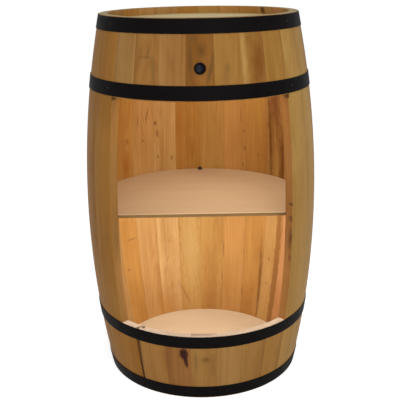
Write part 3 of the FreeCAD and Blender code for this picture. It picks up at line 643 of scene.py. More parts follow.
@dataclass(frozen=True)
class RockerCap(Finish):
    """Gloss blue-black cap with a painted highlight along its valley, a fine pale line."""

    colour: Colour = (0.0034, 0.0050, 0.0100)
    # Colour and half sizes of the painted highlight along the valley.
    line: Colour = (0.020, 0.030, 0.050)
    highlight_half_width: float = 0.0006
    highlight_half_length: float = 0.0052

    def _make(self, surface: Surface) -> Material:
        """Builds the cap and the painted highlight along its valley."""
        place = surface.place()
        x, _, z = surface.split(place)
        middle = FORM.seat(0.0, SwitchFit.height).translation.z
        line = None
        # Painted highlight: a fine pale line down the middle of the cap.
        for length, half, blur in ((x, self.highlight_half_width, 0.00015),
                                   (surface.minus(z, middle), self.highlight_half_length, 0.0004)):
            near = surface.ease(surface.maths("ABSOLUTE", length), half - blur, half + blur, 1.0, 0.0)
            line = near if line is None else surface.times(line, near)
        cloud = surface.noise(place, 260.0, 3.0)
        colour = surface.mix(line, surface.mottle(self.colour, cloud, 0.8, 0.6), self.line)
        rough = surface.scaled(cloud, 0.16, 0.22)
        return surface.done(colour, rough, (cloud, 0.00004, 0.3), Specular_IOR_Level=0.07)


@dataclass(frozen=True)
class Plated(Finish):
    """Plated or bare metal."""

    colour: Colour = (0.62, 0.52, 0.30)

    def _make(self, surface: Surface) -> Material:
        """Builds the metal with its fine tarnish."""
        cloud = surface.noise(surface.place(), 320.0, 3.0, 0.6)
        colour = surface.mottle(self.colour, cloud, 0.6, 0.7)
        return surface.done(colour, surface.scaled(cloud, 0.25, 0.22), (cloud, 0.00003, 0.4), Metallic=1.0)


@dataclass(frozen=True)
class StripFilm(Finish):
    """White flexible circuit with copper pads between its packages."""

    colour: Colour = (0.78, 0.76, 0.70)
    pad: Colour = (0.62, 0.40, 0.22)
    radius: float = 0.222
    pitch: float = 0.0501

    def _make(self, surface: Surface) -> Material:
        """Builds the film and its pads, which follow the packages' pitch."""
        place = surface.place()
        x, y, _ = surface.split(place)
        run = surface.times(surface.maths("ARCTAN2", x, surface.times(y, -1.0)), self.radius)
        pitch = surface.maths("FRACT", surface.plus(surface.maths("DIVIDE", run, self.pitch), 0.5))
        stripe = surface.ease(surface.maths("ABSOLUTE", surface.minus(pitch, 0.02)), 0.012, 0.02, 1.0, 0.0)
        rib = surface.noise(place, 500.0)
        colour = surface.mix(stripe, surface.mottle(self.colour, rib, 0.2, 0.9), self.pad)
        return surface.done(colour, 0.45, (rib, 0.00004, 0.4))


@dataclass(frozen=True)
class WarmLight(Finish):
    """Lit LED package: a warm phosphor window in a white case."""

    window: Colour = (1.0, 0.66, 0.30)
    case: Colour = (0.86, 0.84, 0.78)
    strength: float = 6.0

    def _make(self, surface: Surface) -> Material:
        """Builds the case and its glow."""
        cloud = surface.noise(surface.place(), 600.0)
        return surface.done(surface.mottle(self.case, cloud, 0.2, 0.85), 0.35, (cloud, 0.00003, 0.3),
                            Emission_Color=self.window, Emission_Strength=self.strength)


# ---- making and delivering pieces

class Workshop:
    """Turns shaped meshes into finished pieces that ride on the cask."""

    DRILL_SIDES = 48

    @staticmethod
    def object(shape: Shape, name: str, angle: float = SHOWN_ANGLE) -> Object:
        """Makes an object of a shape, with its faces outwards and smooth up to an angle.

        Args:
            shape: The shape, which is freed.
            name: Name of the object and its mesh.
            angle: Angle between faces, in radians, past which an edge stays sharp.

        Returns:
            The new object, at the origin.
        """
        bmesh.ops.recalc_face_normals(shape, faces=shape.faces)
        mesh = bpy.data.meshes.new(name)
        shape.to_mesh(mesh)
        shape.free()
        Workshop.smooth(mesh, angle)
        made = bpy.data.objects.new(name, mesh)
        bpy.context.scene.collection.objects.link(made)
        return made

    @staticmethod
    def smooth(mesh: Mesh, angle: float = SHOWN_ANGLE) -> None:
        """Shows a mesh smooth up to an angle."""
        mesh.shade_smooth()
        mesh.set_sharp_from_angle(angle=angle)

    @staticmethod
    def write(mesh: Mesh, name: str, kind: str, values: Sequence[Value]) -> None:
        """Writes an attribute at a mesh's corners, in place of one of the same name.

        Args:
            mesh: The mesh.
            name: The attribute's name.
            kind: FLOAT or FLOAT_VECTOR.
            values: One value for each corner.
        """
        if name in mesh.attributes:
            mesh.attributes.remove(mesh.attributes[name])
        made = mesh.attributes.new(name, kind, "POINT")
        for item, value in zip(made.data, values):
            setattr(item, "vector" if kind == "FLOAT_VECTOR" else "value", value)

    @staticmethod
    def drill(target: Object, placement: Matrix, radius: float, depth: float) -> None:
        """Drills a round hole through an object.

        Args:
            target: The object that is drilled.
            placement: The hole's middle, with Z along it.
            radius: The hole's radius.
            depth: Length of the drill each way from the middle.
        """
        shape = bmesh.new()
        bmesh.ops.create_cone(shape, cap_ends=True, segments=Workshop.DRILL_SIDES, radius1=radius, radius2=radius,
                              depth=2.0 * depth)
        bmesh.ops.transform(shape, matrix=placement, verts=shape.verts)
        tool = Workshop.object(shape, f"{target.name}_drill")
        modifier = target.modifiers.new("drill", "BOOLEAN")
        modifier.operation = "DIFFERENCE"
        modifier.solver = "EXACT"
        modifier.object = tool
        bpy.context.view_layer.update()
        evaluated = target.evaluated_get(bpy.context.evaluated_depsgraph_get())
        drilled = bpy.data.meshes.new_from_object(evaluated)
        target.modifiers.clear()
        old, spent = target.data, tool.data
        target.data = drilled
        drilled.name = target.name
        bpy.data.objects.remove(tool)
        for mesh in (old, spent):
            bpy.data.meshes.remove(mesh)

    @staticmethod
    def deliver(piece: Object, finish: Finish, node: str, body: str = "cabinet") -> None:
        """Coats a piece, seats it on its body and hides the solid that it stands for.

        Args:
            piece: The finished object.
            finish: What it is coated with.
            node: Name of the solid that it replaces.
            body: Name of the body that it moves with.
        """
        piece.data.materials.clear()
        piece.data.materials.append(finish.material())
        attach(piece, body)
        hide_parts(node)
        log.info("%s: %d faces, %s", piece.name, len(piece.data.polygons), finish.name)


@dataclass
class BentBlank:
    """Slat with eased edges, bent to the wall between two heights and two offsets."""

    azimuth: float
    width: float
    low: float
    high: float
    inner: float
    outer: float
    ease: float = 0.0003
    cuts_across: int = 5
    cuts_along: int = 40
    grooves: tuple[float, ...] = ()
    skin: float = 0.0001

    def slat(self) -> Shape:
        """Makes the straight slat: X across, Y through the wall, Z up."""
        across = math.radians(self.width) * FORM.bilge_radius
        shape = bmesh.new()
        bmesh.ops.create_cube(shape, size=1.0)
        bmesh.ops.scale(shape, vec=(across, self.outer - self.inner, self.high - self.low), verts=shape.verts)
        middle = (0.0, (self.inner + self.outer) / 2.0, (self.low + self.high) / 2.0)
        bmesh.ops.translate(shape, vec=middle, verts=shape.verts)
        bmesh.ops.bevel(shape, geom=shape.edges[:], offset=self.ease, segments=2, profile=0.5,
                        affect="EDGES", material=-1)
        for axis, length, cuts in ((0, across, self.cuts_across), (2, self.high - self.low, self.cuts_along)):
            runs = [edge for edge in shape.edges
                    if abs(edge.verts[0].co[axis] - edge.verts[1].co[axis]) > 0.5 * length]
            bmesh.ops.subdivide_edges(shape, edges=runs, cuts=cuts, use_grid_fill=True)
        for groove in self.grooves:
            self._plough(shape, groove)
        return shape

    def _plough(self, shape: Shape, low: float) -> None:
        """Ploughs the groove for a board into the inner face, from a height up."""
        high = low + FORM.groove_width
        for level in (low, high):
            everything = shape.verts[:] + shape.edges[:] + shape.faces[:]
            bmesh.ops.bisect_plane(shape, geom=everything, plane_co=(0.0, 0.0, level), plane_no=(0.0, 0.0, 1.0))
        floor = [face for face in shape.faces
                 if low < face.calc_center_median().z < high
                 and face.calc_center_median().y < self.inner + self.skin]
        sunk = bmesh.ops.extrude_face_region(shape, geom=floor)["geom"]
        verts = [item for item in sunk if isinstance(item, bmesh.types.BMVert)]
        bmesh.ops.translate(shape, vec=(0.0, FORM.groove_depth, 0.0), verts=verts)
        bmesh.ops.delete(shape, geom=floor, context="FACES")

    def bend(self, shape: Shape) -> None:
        """Bends the straight slat to the wall."""
        middle = math.radians(self.azimuth)
        for vert in shape.verts:
            across, offset, height = vert.co
            vert.co = FORM.point(middle + across / FORM.bilge_radius, height, offset)

    def build(self, name: str) -> Object:
        """Makes the bent piece and measures its grain.

        Args:
            name: The piece's name.

        Returns:
            The object, with its grain and joint attributes.
        """
        shape = self.slat()
        self.bend(shape)
        piece = Workshop.object(shape, name)
        self.measure(piece.data)
        return piece

    def measure(self, mesh: Mesh) -> None:
        """Writes two attributes: the place in the slat, and the distance from its nearest long edge."""
        middle = math.radians(self.azimuth)
        half = math.radians(self.width) / 2.0
        centre = FORM.bilge_radius - FORM.bend_radius
        grain, joint = [], []
        for vert in mesh.vertices:
            x, y, z = vert.co
            radius = math.hypot(x, y)
            turn = math.atan2(x, -y) - middle
            turn -= math.tau * round(turn / math.tau)
            depth = math.hypot(radius - centre, z - FORM.bilge_height) - FORM.bend_radius
            grain.append((turn * radius, depth, z))
            joint.append((half - abs(turn)) * radius)
        Workshop.write(mesh, "grain", "FLOAT_VECTOR", grain)
        Workshop.write(mesh, "joint", "FLOAT", joint)


# ---- staves

def marks(kind: MarkKind, face: Face, *rows: Sequence[float]) -> Iterator[Mark]:
    """Makes marks of one kind.

    Args:
        kind: What they are.
        face: The face of the wall that they show on.
        rows: For each mark its azimuth in degrees, its height, half width and half height in millimetres, its red,
            green and blue in thousandths, its strength, and its lean if it has one.

    Yields:
        The marks, in the order of the rows.
    """
    for azimuth, height, across, along, red, green, blue, strength, *lean in rows:
        yield Mark(kind, face, azimuth, height / THOUSAND, across / THOUSAND, along / THOUSAND,
                   (red / THOUSAND, green / THOUSAND, blue / THOUSAND), strength, *lean)


# Where marks overlap, the later one lies on top.
MARKS = (
    *marks(MarkKind.STREAK, Face.OUTSIDE, (0.85, 750, 12, 17, 85, 40, 10, 0.62),
           (-4.75, 735, 5.5, 45, 100, 50, 14, 0.75), (4.85, 712, 5.5, 40, 100, 48, 14, 0.75, 0.22),
           (-0.05, 696, 13, 12, 250, 95, 20, 0.6), (-2.75, 772, 12, 8, 90, 50, 16, 0.5)),
    *marks(MarkKind.FLECK, Face.OUTSIDE, (-10.45, 115, 10, 16.5, 26, 7, 6, 0.97),
           (-9.45, 96, 5.2, 17, 36, 11, 8, 0.93, -0.1)),
    # Painted shadow in the open joint below the opening: two near-black streaks, one on each side of the gap.
    *marks(MarkKind.STREAK, Face.OUTSIDE, (-36.7, 75, 2.4, 500, 50, 20, 6, 0.95),
           (-35.7, 75, 2.4, 500, 50, 20, 6, 0.95)),
    *marks(MarkKind.KNOT, Face.OUTSIDE, (1.05, 103, 5.8, 4.6, 85, 40, 13, 0.65)),
    *marks(MarkKind.STREAK, Face.OUTSIDE, (0.65, 100, 12, 11, 120, 60, 20, 0.5),
           (-4.35, 95, 5.5, 40, 150, 78, 26, 0.6), (4.45, 90, 6, 40, 170, 90, 30, 0.5),
           (-19.35, 95, 12, 50, 160, 65, 20, 0.5), (13.35, 717, 6, 12, 160, 85, 24, 0.5),
           (-25.95, 748, 6, 20, 130, 70, 20, 0.5, 0.2), (-22.85, 710, 7, 42, 150, 80, 22, 0.45, -0.15)),
    *marks(MarkKind.FLECK, Face.OUTSIDE, (46.9, 425.8, 2, 3.6, 55, 24, 10, 0.8),
           (47.1, 394, 1.1, 7.5, 90, 36, 14, 0.6)),
    *marks(MarkKind.STREAK, Face.OUTSIDE, (47.1, 350, 1.6, 30, 80, 34, 14, 0.75),
           (47, 306, 1.3, 9, 80, 34, 14, 0.6)),
    *marks(MarkKind.STREAK, Face.INSIDE, (127.6, 550, 48, 240, 220, 92, 26, 0.75, 0.02),
           (127.6, 595, 23, 90, 160, 50, 19, 0.8), (132.4, 500, 6.2, 170, 120, 40, 10, 0.8),
           (122.4, 440, 7, 110, 105, 36, 12, 0.85), (127.5, 415, 14, 80, 420, 225, 60, 0.95),
           (128.6, 495, 4, 60, 400, 200, 60, 0.8), (-172.95, 170, 46, 230, 420, 265, 90, 0.75),
           (173.6, 30, 40, 160, 270, 108, 24, 0.7), (145.65, 20, 40, 120, 290, 115, 26, 0.6),
           (-153.35, 30, 50, 70, 320, 135, 28, 0.65)),
    *marks(MarkKind.STREAK, Face.OUTSIDE, (25.95, 45, 4, 20, 300, 120, 30, 0.4),
           (29.65, 723, 18.5, 56, 165, 58, 10, 1, 0.1), (30.65, 712, 11, 30, 180, 64, 13, 0.7),
           (21.85, 730, 9, 90, 420, 250, 80, 0.6), (44.15, 704, 4, 40, 290, 100, 20, 0.5),
           (-27.05, 737, 17, 3.8, 120, 60, 18, 0.5, 0.1), (12.25, 704, 11, 24, 170, 80, 24, 0.35)),
    *marks(MarkKind.FLECK, Face.OUTSIDE, (-47, 652, 4, 5, 70, 28, 8, 0.85), (47.3, 652, 4, 6, 70, 28, 8, 0.85)),
    *marks(MarkKind.STREAK, Face.OUTSIDE, (-52.35, 355, 14, 16, 150, 70, 22, 0.35)),
    *marks(MarkKind.FLECK, Face.INSIDE, (123.55, 170, 11.8, 360, 215, 83, 20, 0.85)),
    *marks(MarkKind.STREAK, Face.INSIDE, (136.55, 100, 6.6, 170, 130, 50, 15, 0.85, 0.02),
           (140.65, 550, 12, 60, 420, 230, 40, 0.5), (-129.85, 428, 16, 40, 270, 80, 14, 0.7),
           (-167.95, 530, 12, 200, 310, 115, 22, 0.6)),
    *marks(MarkKind.FLECK, Face.INSIDE, (-139.45, 536, 1.8, 15, 120, 48, 14, 0.65, 0.05)),
    *marks(MarkKind.STREAK, Face.INSIDE, (-146.15, 549, 3, 26, 120, 45, 14, 0.7, -0.15)),
    *marks(MarkKind.FLECK, Face.INSIDE, (-151.75, 525, 4, 6, 120, 48, 14, 0.65),
           (-153.05, 498, 3.7, 12, 170, 70, 22, 0.6, 0.1), (-143.35, 483, 2.2, 4, 120, 48, 14, 0.65),
           (-153.55, 436, 2.2, 6, 120, 48, 14, 0.65), (-162.35, 429, 2.8, 5.5, 120, 48, 14, 0.65),
           (153.55, 539, 1, 20, 150, 60, 18, 0.6)),
    *marks(MarkKind.KNOT, Face.INSIDE, (151.55, 501, 3.5, 5, 150, 62, 18, 0.6)),
    *marks(MarkKind.FLECK, Face.INSIDE, (151.15, 456, 3, 7, 120, 46, 14, 0.65)),
    *marks(MarkKind.KNOT, Face.INSIDE, (152.55, 411, 3.4, 6, 160, 65, 20, 0.6)),
    *marks(MarkKind.FLECK, Face.INSIDE, (142.15, 442, 2.2, 5, 170, 70, 20, 0.5)),
    *marks(MarkKind.STREAK, Face.INSIDE, (-131.05, 489.3, 9, 12, 170, 75, 16, 0.6)),
    *marks(MarkKind.FLECK, Face.INSIDE, (-130.35, 235, 20, 3, 200, 85, 28, 0.6, 0.1),
           (-124.75, 160, 6, 3, 150, 60, 20, 0.6), (-152.25, 212.2, 1.4, 6, 260, 110, 35, 0.45, 0.3),
           (-155.25, 182.7, 1.4, 8, 240, 100, 30, 0.45, 0.3), (-156.95, 159.7, 1.6, 8, 180, 70, 22, 0.45, -0.3),
           (-161.05, 146.2, 1.4, 8, 200, 80, 26, 0.45, -0.3), (-154.85, 128.3, 1.6, 10, 200, 80, 26, 0.45, -0.3),
           (-158.85, 206, 1.6, 6, 220, 90, 28, 0.45, 0.3), (-165.05, 127.8, 1.4, 8, 240, 100, 30, 0.45, -0.3),
           (-158.35, 84.8, 1.8, 10, 230, 90, 28, 0.45, -0.3), (-147.85, 98.4, 1.6, 12, 250, 110, 35, 0.45, -0.3)),
    *marks(MarkKind.STREAK, Face.INSIDE, (-167.85, 58, 5.6, 44, 260, 110, 30, 0.7, 0.47)),
    *marks(MarkKind.FLECK, Face.INSIDE, (164.95, 178, 1.3, 26, 150, 60, 18, 0.7),
           (165.65, 106, 1.1, 16, 190, 80, 24, 0.6), (150.55, 177, 1.1, 12, 170, 65, 20, 0.7),
           (150.35, 69, 1.3, 12, 190, 70, 22, 0.7)),
    *marks(MarkKind.KNOT, Face.INSIDE, (130.35, 176, 3, 5, 150, 70, 30, 0.7),
           (126.05, 109, 2.8, 5, 150, 70, 30, 0.7)),
    *marks(MarkKind.FLECK, Face.INSIDE, (130.75, 110.7, 2.2, 5, 170, 80, 32, 0.6),
           (-2.6, 159, 34, 3, 240, 150, 90, 0.75), (-34.3, 159, 4, 5, 60, 30, 20, 0.9),
           (129.95, 802, 8, 9, 90, 36, 14, 0.85)),
)

HEADER_TINTS = (
    (1.08, 1.12, 1.26), (1.02, 0.93, 0.88), (1.12, 1.09, 1.22), (0.75, 0.60, 0.40), (1.06, 1.04, 0.90),
    (1.00, 0.94, 0.81), (1.12, 1.12, 0.96)
)
FOOTER_TINTS_AND_ENDS = (
    ((1.05, 0.91, 0.65), (0.49, 0.37, 0.26)), ((1.15, 1.11, 1.15), (0.47, 0.36, 0.26)),
    ((0.92, 0.79, 0.84), (0.45, 0.35, 0.25)), ((1.06, 1.07, 1.11), (0.43, 0.35, 0.26)),
    ((1.08, 1.11, 1.26), (0.47, 0.37, 0.26)), ((1.01, 1.01, 1.04), (0.47, 0.36, 0.25)),
    ((1.09, 1.09, 1.02), (0.49, 0.37, 0.26))
)
INSIDE_TINTS = {
    5: (1.24, 1.10, 1.22), 6: (1.14, 1.15, 1.05), 7: (1.06, 0.96, 0.70), 8: (1.16, 1.07, 0.90),
    9: (1.01, 0.98, 0.75), 10: (0.94, 0.82, 0.50), 11: (1.18, 1.24, 1.30), 12: (1.14, 1.11, 1.08),
    13: (1.06, 0.95, 0.69)
}
TIMBERS = {
    **{f"header_stave_{place}": Timber(tint) for place, tint in enumerate(HEADER_TINTS, 1)},
    **{f"footer_stave_{place}": Timber(tint, end=end) for place, (tint, end) in enumerate(FOOTER_TINTS_AND_ENDS, 1)},
    **{f"stave_{place:02d}": Timber(inside=tint) for place, tint in INSIDE_TINTS.items()},
    # stave_01 and stave_02 on the right are tinted lighter and bluer outside, stave_17 and stave_18 on the left
    # warmer and duller: painted light on the right and painted shade on the left. The side tints of stave_01 and
    # stave_18 set the painted shade of the two jambs.
    "stave_01": Timber((1.31, 1.46, 1.50), side=(0.83, 0.68, 0.58)),
    "stave_02": Timber((1.34, 1.54, 1.66)),
    "stave_17": Timber((1.01, 0.95, 0.76)),
    "stave_18": Timber((1.10, 0.98, 0.73), side=(0.71, 0.66, 0.58)),
}


@dataclass
class StaveWall:
    """All staves: full-length ones round the sides and back, short ones above and below the opening."""

    seed: int = 7
    switch_stave: str = "header_stave_4"
    switch_hole: float = 0.01015
    cable_hole: float = 0.0040
    cable_azimuth: float = 180.0
    cable_height: float = 0.3965
    open_joint: float = 0.0022
    open_joint_angle: float = 36.4
    open_joint_stave: int = 2
    side_unevenness: float = 0.25
    front_unevenness: float = 0.15
    front_cuts: int = 8
    tones: tuple[float, float] = (0.84, 1.12)
    seeds: tuple[float, float] = (1.0, 40.0)
    figures: tuple[float, float] = (0.6, 0.9)
    seams: tuple[float, float] = (0.0, 0.16)
    mark_reach_angle: float = 3.0
    mark_reach_height: float = 0.05

    def build(self) -> None:
        """Builds every stave in order: the full-length ones, then those above the opening, then those below."""
        chance = random.Random(self.seed)
        for place in range(1, FORM.side_staves + 1):
            azimuth = FORM.opening_half_angle + (place - 0.5) * FORM.side_step
            blank = self._blank(azimuth, FORM.side_step, 0.0, FORM.height,
                                chance.uniform(0.0, self.side_unevenness))
            blank.grooves = (FORM.floor_groove, FORM.top_groove)
            self._stave(f"stave_{place:02d}", "side_stave_wood", blank, chance)
        for row, low, high, groove in (("header", FORM.opening_top, FORM.height, FORM.top_groove),
                                       ("footer", 0.0, FORM.opening_bottom, FORM.floor_groove)):
            for place in range(1, FORM.front_staves + 1):
                azimuth = (place - 0.5) * FORM.front_step - FORM.opening_half_angle
                width = FORM.front_step
                if row == "footer":
                    left, right = self._footer_edges(place)
                    azimuth, width = (left + right) / 2.0, right - left
                blank = self._blank(azimuth, width, low, high, chance.uniform(0.0, self.front_unevenness))
                blank.cuts_along = self.front_cuts
                blank.grooves = (groove,)
                self._stave(f"{row}_stave_{place}", f"{row}_stave_wood", blank, chance)

    @staticmethod
    def _blank(azimuth: float, width: float, low: float, high: float, sunk: float) -> BentBlank:
        """Gives a stave's blank, with its outer face sunk by some tenths of a millimetre."""
        return BentBlank(azimuth, width, low, high, -FORM.wall, -sunk * MM)

    def _footer_edges(self, place: int) -> tuple[float, float]:
        """Gives the left and right edge of a stave below the opening, in degrees. One joint stands open."""
        left = (place - 1) * FORM.front_step - FORM.opening_half_angle
        right = place * FORM.front_step - FORM.opening_half_angle
        if place == self.open_joint_stave - 1:
            right = -self.open_joint_angle
        if place == self.open_joint_stave:
            left = math.degrees(self.open_joint / FORM.bilge_radius) - self.open_joint_angle
        return left, right

    def _stave(self, node: str, slot: str, blank: BentBlank, chance: random.Random) -> None:
        """Builds one stave.

        Args:
            node: Name of the solid that it stands for.
            slot: Name of its material slot.
            blank: The slat that it is bent from.
            chance: Source of its tone and grain.
        """
        piece = blank.build(f"{node}_dressed")
        if node == self.switch_stave:
            self._drill(piece, blank, FORM.seat(0.0, SwitchFit.height), self.switch_hole)
        if abs(blank.azimuth - self.cable_azimuth) < FORM.side_step:
            self._drill(piece, blank, FORM.seat(self.cable_azimuth, self.cable_height), self.cable_hole)
        Workshop.deliver(piece, self._wood(node, slot, blank, chance), node)

    @staticmethod
    def _drill(piece: Object, blank: BentBlank, seat: Matrix, radius: float) -> None:
        """Drills a stave straight through at a seat on its outer face."""
        Workshop.drill(piece, seat, radius, 2.0 * FORM.wall)
        blank.measure(piece.data)
        Workshop.smooth(piece.data)

    def _wood(self, node: str, slot: str, blank: BentBlank, chance: random.Random) -> StaveWood:
        """Chooses one stave's tone, grain and marks."""
        tone = chance.uniform(*self.tones)
        seed = round(chance.uniform(*self.seeds), 3)
        figure = chance.uniform(*self.figures)
        seam = chance.uniform(*self.seams)
        timber = TIMBERS.get(node, Timber())
        if timber.outside == WHITE:
            timber = replace(timber, outside=(tone, tone, tone))
        near = blank.width / 2.0 + self.mark_reach_angle
        reach = self.mark_reach_height
        chosen = []
        for mark in MARKS:
            azimuth = mark.azimuth + FULL_TURN * round((blank.azimuth - mark.azimuth) / FULL_TURN)
            if abs(azimuth - blank.azimuth) < near and blank.low - reach < mark.height < blank.high + reach:
                chosen.append(replace(mark, azimuth=azimuth))
        return StaveWood(f"{node}_wood", slot, blank.azimuth, timber, seed, figure, seam, tuple(chosen))


# ---- hoops and their fasteners

@dataclass
class HoopSet:
    """Four flat steel hoops, lapped and riveted at the back and nailed beside the opening."""

    width: float = 0.0284
    thickness: float = 0.0015
    fit: float = 0.00005
    round_edge: float = 0.0005
    lap_angle: float = 11.0
    rivet_angle: float = 3.2
    rivet_radius: float = 0.0046
    rivet_height: float = 0.0022
    nail_radius: float = 0.0026
    nail_height: float = 0.0007
    head_wear: float = 0.0008
    head_cut: float = -0.05
    head_sides: int = 20
    head_rings: int = 12
    section_rows: int = 8
    lap_cuts: tuple[int, int] = (8, 6)
    steps: int = 144
    places: dict[str, tuple[float, float]] = field(default_factory=lambda: {
        "hoop_top": (0.7808, 54.5),
        "hoop_upper": (0.6567, 50.8),
        "hoop_lower": (0.1312, 50.8),
        "hoop_bottom": (0.0020, 54.5),
    })

    def build(self) -> None:
        """Builds the hoops, whose places are their lower edge and their nails' angle, then all rivets and nails."""
        enamel = Enamel("hoop_enamel", "hoop_steel")
        for node, (low, _) in self.places.items():
            Workshop.deliver(self._hoop(node, low), enamel, node)
        rivets, nails = bmesh.new(), bmesh.new()
        for low, nail_angle in self.places.values():
            height = low + self.width / 2.0
            for side in (-1.0, 1.0):
                seat = FORM.seat(180.0 + side * self.rivet_angle, height, self.fit + 2.0 * self.thickness)
                self._dome(rivets, seat, self.rivet_radius, self.rivet_height)
                seat = FORM.seat(side * nail_angle, height, self.fit + self.thickness)
                self._dome(nails, seat, self.nail_radius, self.nail_height)
        for shape, node, enamel in (
                (rivets, "hoop_rivets",
                 Enamel("rivet_enamel", "rivet_steel", colour=(0.0075, 0.0075, 0.0085), wear=0.5)),
                (nails, "hoop_nails",
                 Enamel("nail_enamel", "nail_steel", colour=(0.0160, 0.0120, 0.0090), worn=(0.08, 0.045, 0.02),
                        wear=0.6))):
            piece = Workshop.object(shape, f"{node}_dressed")
            Workshop.write(piece.data, "joint", "FLOAT", [self.head_wear] * len(piece.data.vertices))
            Workshop.deliver(piece, enamel, node)

    def _section(self) -> Shape:
        """Makes the outline of the strip's section in X and Z, with rounded corners: X from the staves out, Z up."""
        shape = bmesh.new()
        bmesh.ops.create_grid(shape, x_segments=1, y_segments=self.section_rows, size=0.5,
                              matrix=Matrix.Rotation(math.pi / 2.0, 4, "X"))
        bmesh.ops.scale(shape, vec=(self.thickness, 1.0, self.width), verts=shape.verts)
        middle = (self.fit + self.thickness / 2.0, 0.0, self.width / 2.0)
        bmesh.ops.translate(shape, vec=middle, verts=shape.verts)
        corners = [vert for vert in shape.verts if len(vert.link_edges) == 2]
        bmesh.ops.bevel(shape, geom=corners, offset=self.round_edge, segments=3, profile=0.5,
                        affect="VERTICES", material=-1)
        bmesh.ops.delete(shape, geom=shape.faces[:], context="FACES_ONLY")
        level, margin = 1e-6, 1e-5
        inner = [edge for edge in shape.edges if not edge.is_wire]
        inner += [edge for edge in shape.edges
                  if abs(edge.verts[0].co.z - edge.verts[1].co.z) < level
                  and margin < edge.verts[0].co.z < self.width - margin]
        bmesh.ops.delete(shape, geom=inner, context="EDGES")
        return shape

    def _hoop(self, node: str, low: float) -> Object:
        """Builds one hoop: a closed ring and its lap."""
        shape = self._section()
        for vert in shape.verts:
            height = low + vert.co.z
            vert.co = (0.0, FORM.radius(height, vert.co.x), height)
        bmesh.ops.spin(shape, geom=shape.verts[:] + shape.edges[:], cent=(0.0, 0.0, 0.0), axis=(0.0, 0.0, 1.0),
                       angle=math.tau, steps=self.steps, use_merge=True)
        bmesh.ops.remove_doubles(shape, verts=shape.verts, dist=HOOP_WELD)
        high = low + self.width
        lap = BentBlank(180.0, self.lap_angle, low, high, self.fit + self.thickness,
                        self.fit + 2.0 * self.thickness, self.round_edge, *self.lap_cuts)
        strip = lap.slat()
        lap.bend(strip)
        bmesh.ops.recalc_face_normals(strip, faces=strip.faces)
        loose = bpy.data.meshes.new(f"{node}_lap")
        strip.to_mesh(loose)
        strip.free()
        shape.from_mesh(loose)
        bpy.data.meshes.remove(loose)
        piece = Workshop.object(shape, f"{node}_dressed")
        edges = [min(vert.co.z - low, high - vert.co.z) for vert in piece.data.vertices]
        Workshop.write(piece.data, "joint", "FLOAT", edges)
        return piece

    def _dome(self, shape: Shape, seat: Matrix, radius: float, height: float) -> None:
        """Adds a domed head to a shape.

        Args:
            shape: Shape that the head is added to.
            seat: Middle of the head's foot, with Z outwards.
            radius: The head's radius.
            height: The head's height.
        """
        made = bmesh.ops.create_uvsphere(shape, u_segments=self.head_sides, v_segments=self.head_rings,
                                         radius=1.0)["verts"]
        low = [vert for vert in made if vert.co.z < self.head_cut]
        kept = [vert for vert in made if vert.co.z >= self.head_cut]
        bmesh.ops.delete(shape, geom=low, context="VERTS")
        rim = [edge for vert in kept for edge in vert.link_edges if edge.is_boundary]
        bmesh.ops.holes_fill(shape, edges=list(set(rim)), sides=0)
        bmesh.ops.scale(shape, vec=(radius, radius, height), verts=kept)
        bmesh.ops.transform(shape, matrix=seat, verts=kept)


# ---- pieces taken over from the solids

def carry(finish: Finish, ease: float, *nodes: str, body: str = "cabinet", shown: float = SHOWN_ANGLE) -> None:
    """Dresses solids alike, each with a copy of its shape whose flats are made whole and whose edges are eased.

    Args:
        finish: What they are coated with.
        ease: Width of the eased edges, or nought for none.
        nodes: Names of the solids.
        body: Name of the body that they move with.
        shown: Angle between faces past which an edge stays sharp.
    """
    for node in nodes:
        shape = bmesh.new()
        shape.from_mesh(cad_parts[node].data)
        bmesh.ops.remove_doubles(shape, verts=shape.verts, dist=SOLID_WELD)
        bmesh.ops.dissolve_limit(shape, angle_limit=FLAT_ANGLE, verts=shape.verts, edges=shape.edges)
        if ease:
            sharp = [edge for edge in shape.edges
                     if len(edge.link_faces) == 2 and edge.calc_face_angle() > EASED_ANGLE]
            bmesh.ops.bevel(shape, geom=sharp, offset=ease, segments=2, profile=0.5, affect="EDGES",
                            clamp_overlap=True, material=-1)
        Workshop.deliver(Workshop.object(shape, f"{node}_dressed", shown), finish, node, body)


class Boards:
    """Top and floor boards and the shelf on its cleats."""

    def build(self) -> None:
        """Builds the boards, the cleats and their screws."""
        top = BoardWood("top_plywood", "top_board", (0.60, 0.46, 0.20), (0.48, 0.35, 0.14),
                        FORM.top_groove, 11.0)
        floor = BoardWood("floor_plywood", "floor_board", (0.59, 0.45, 0.28), (0.50, 0.36, 0.20),
                          FORM.floor_groove, 14.0, figure=0.4)
        # The shelf's front strip carries a painted highlight.
        shelf = BoardWood("shelf_plywood", "shelf_board", (0.54, 0.385, 0.245), (0.46, 0.31, 0.185), 0.3895, 21.0,
                          edge=(0.20, 0.105, 0.026), front_highlight_end=-0.1315, thickness=0.007, figure=0.3)
        for node, wood, ease in (("top_head", top, 0.0003), ("bottom_head", floor, 0.0003), ("shelf", shelf, 0.0005)):
            carry(wood, ease, node, shown=BOARD_SHOWN_ANGLE)
        carry(BattenWood("cleat_batten", "cleat_wood"), 0.0006, "shelf_cleat_left", "shelf_cleat_right",
              "shelf_cleat_rear_left", "shelf_cleat_rear_right")
        carry(Plated("screw_plating", "screw_steel"), 0.0002, "cleat_screws")


@dataclass
class SwitchFit:
    """Round rocker switch in the header."""

    height: float = 0.7173

    def build(self) -> None:
        """Builds the housing, the rocker and the terminals."""
        case = Moulded("switch_gloss", "switch_case", (0.0040, 0.0022, 0.0018), 0.40, 0.03)
        carry(case, 0.00015, "switch_housing")
        carry(RockerCap("rocker_gloss", "rocker_cap"), 0.00025, "switch_rocker", body="rocker")
        carry(Plated("terminal_tin", "terminal_brass", (0.70, 0.58, 0.34)), 0.0001, "switch_terminals")


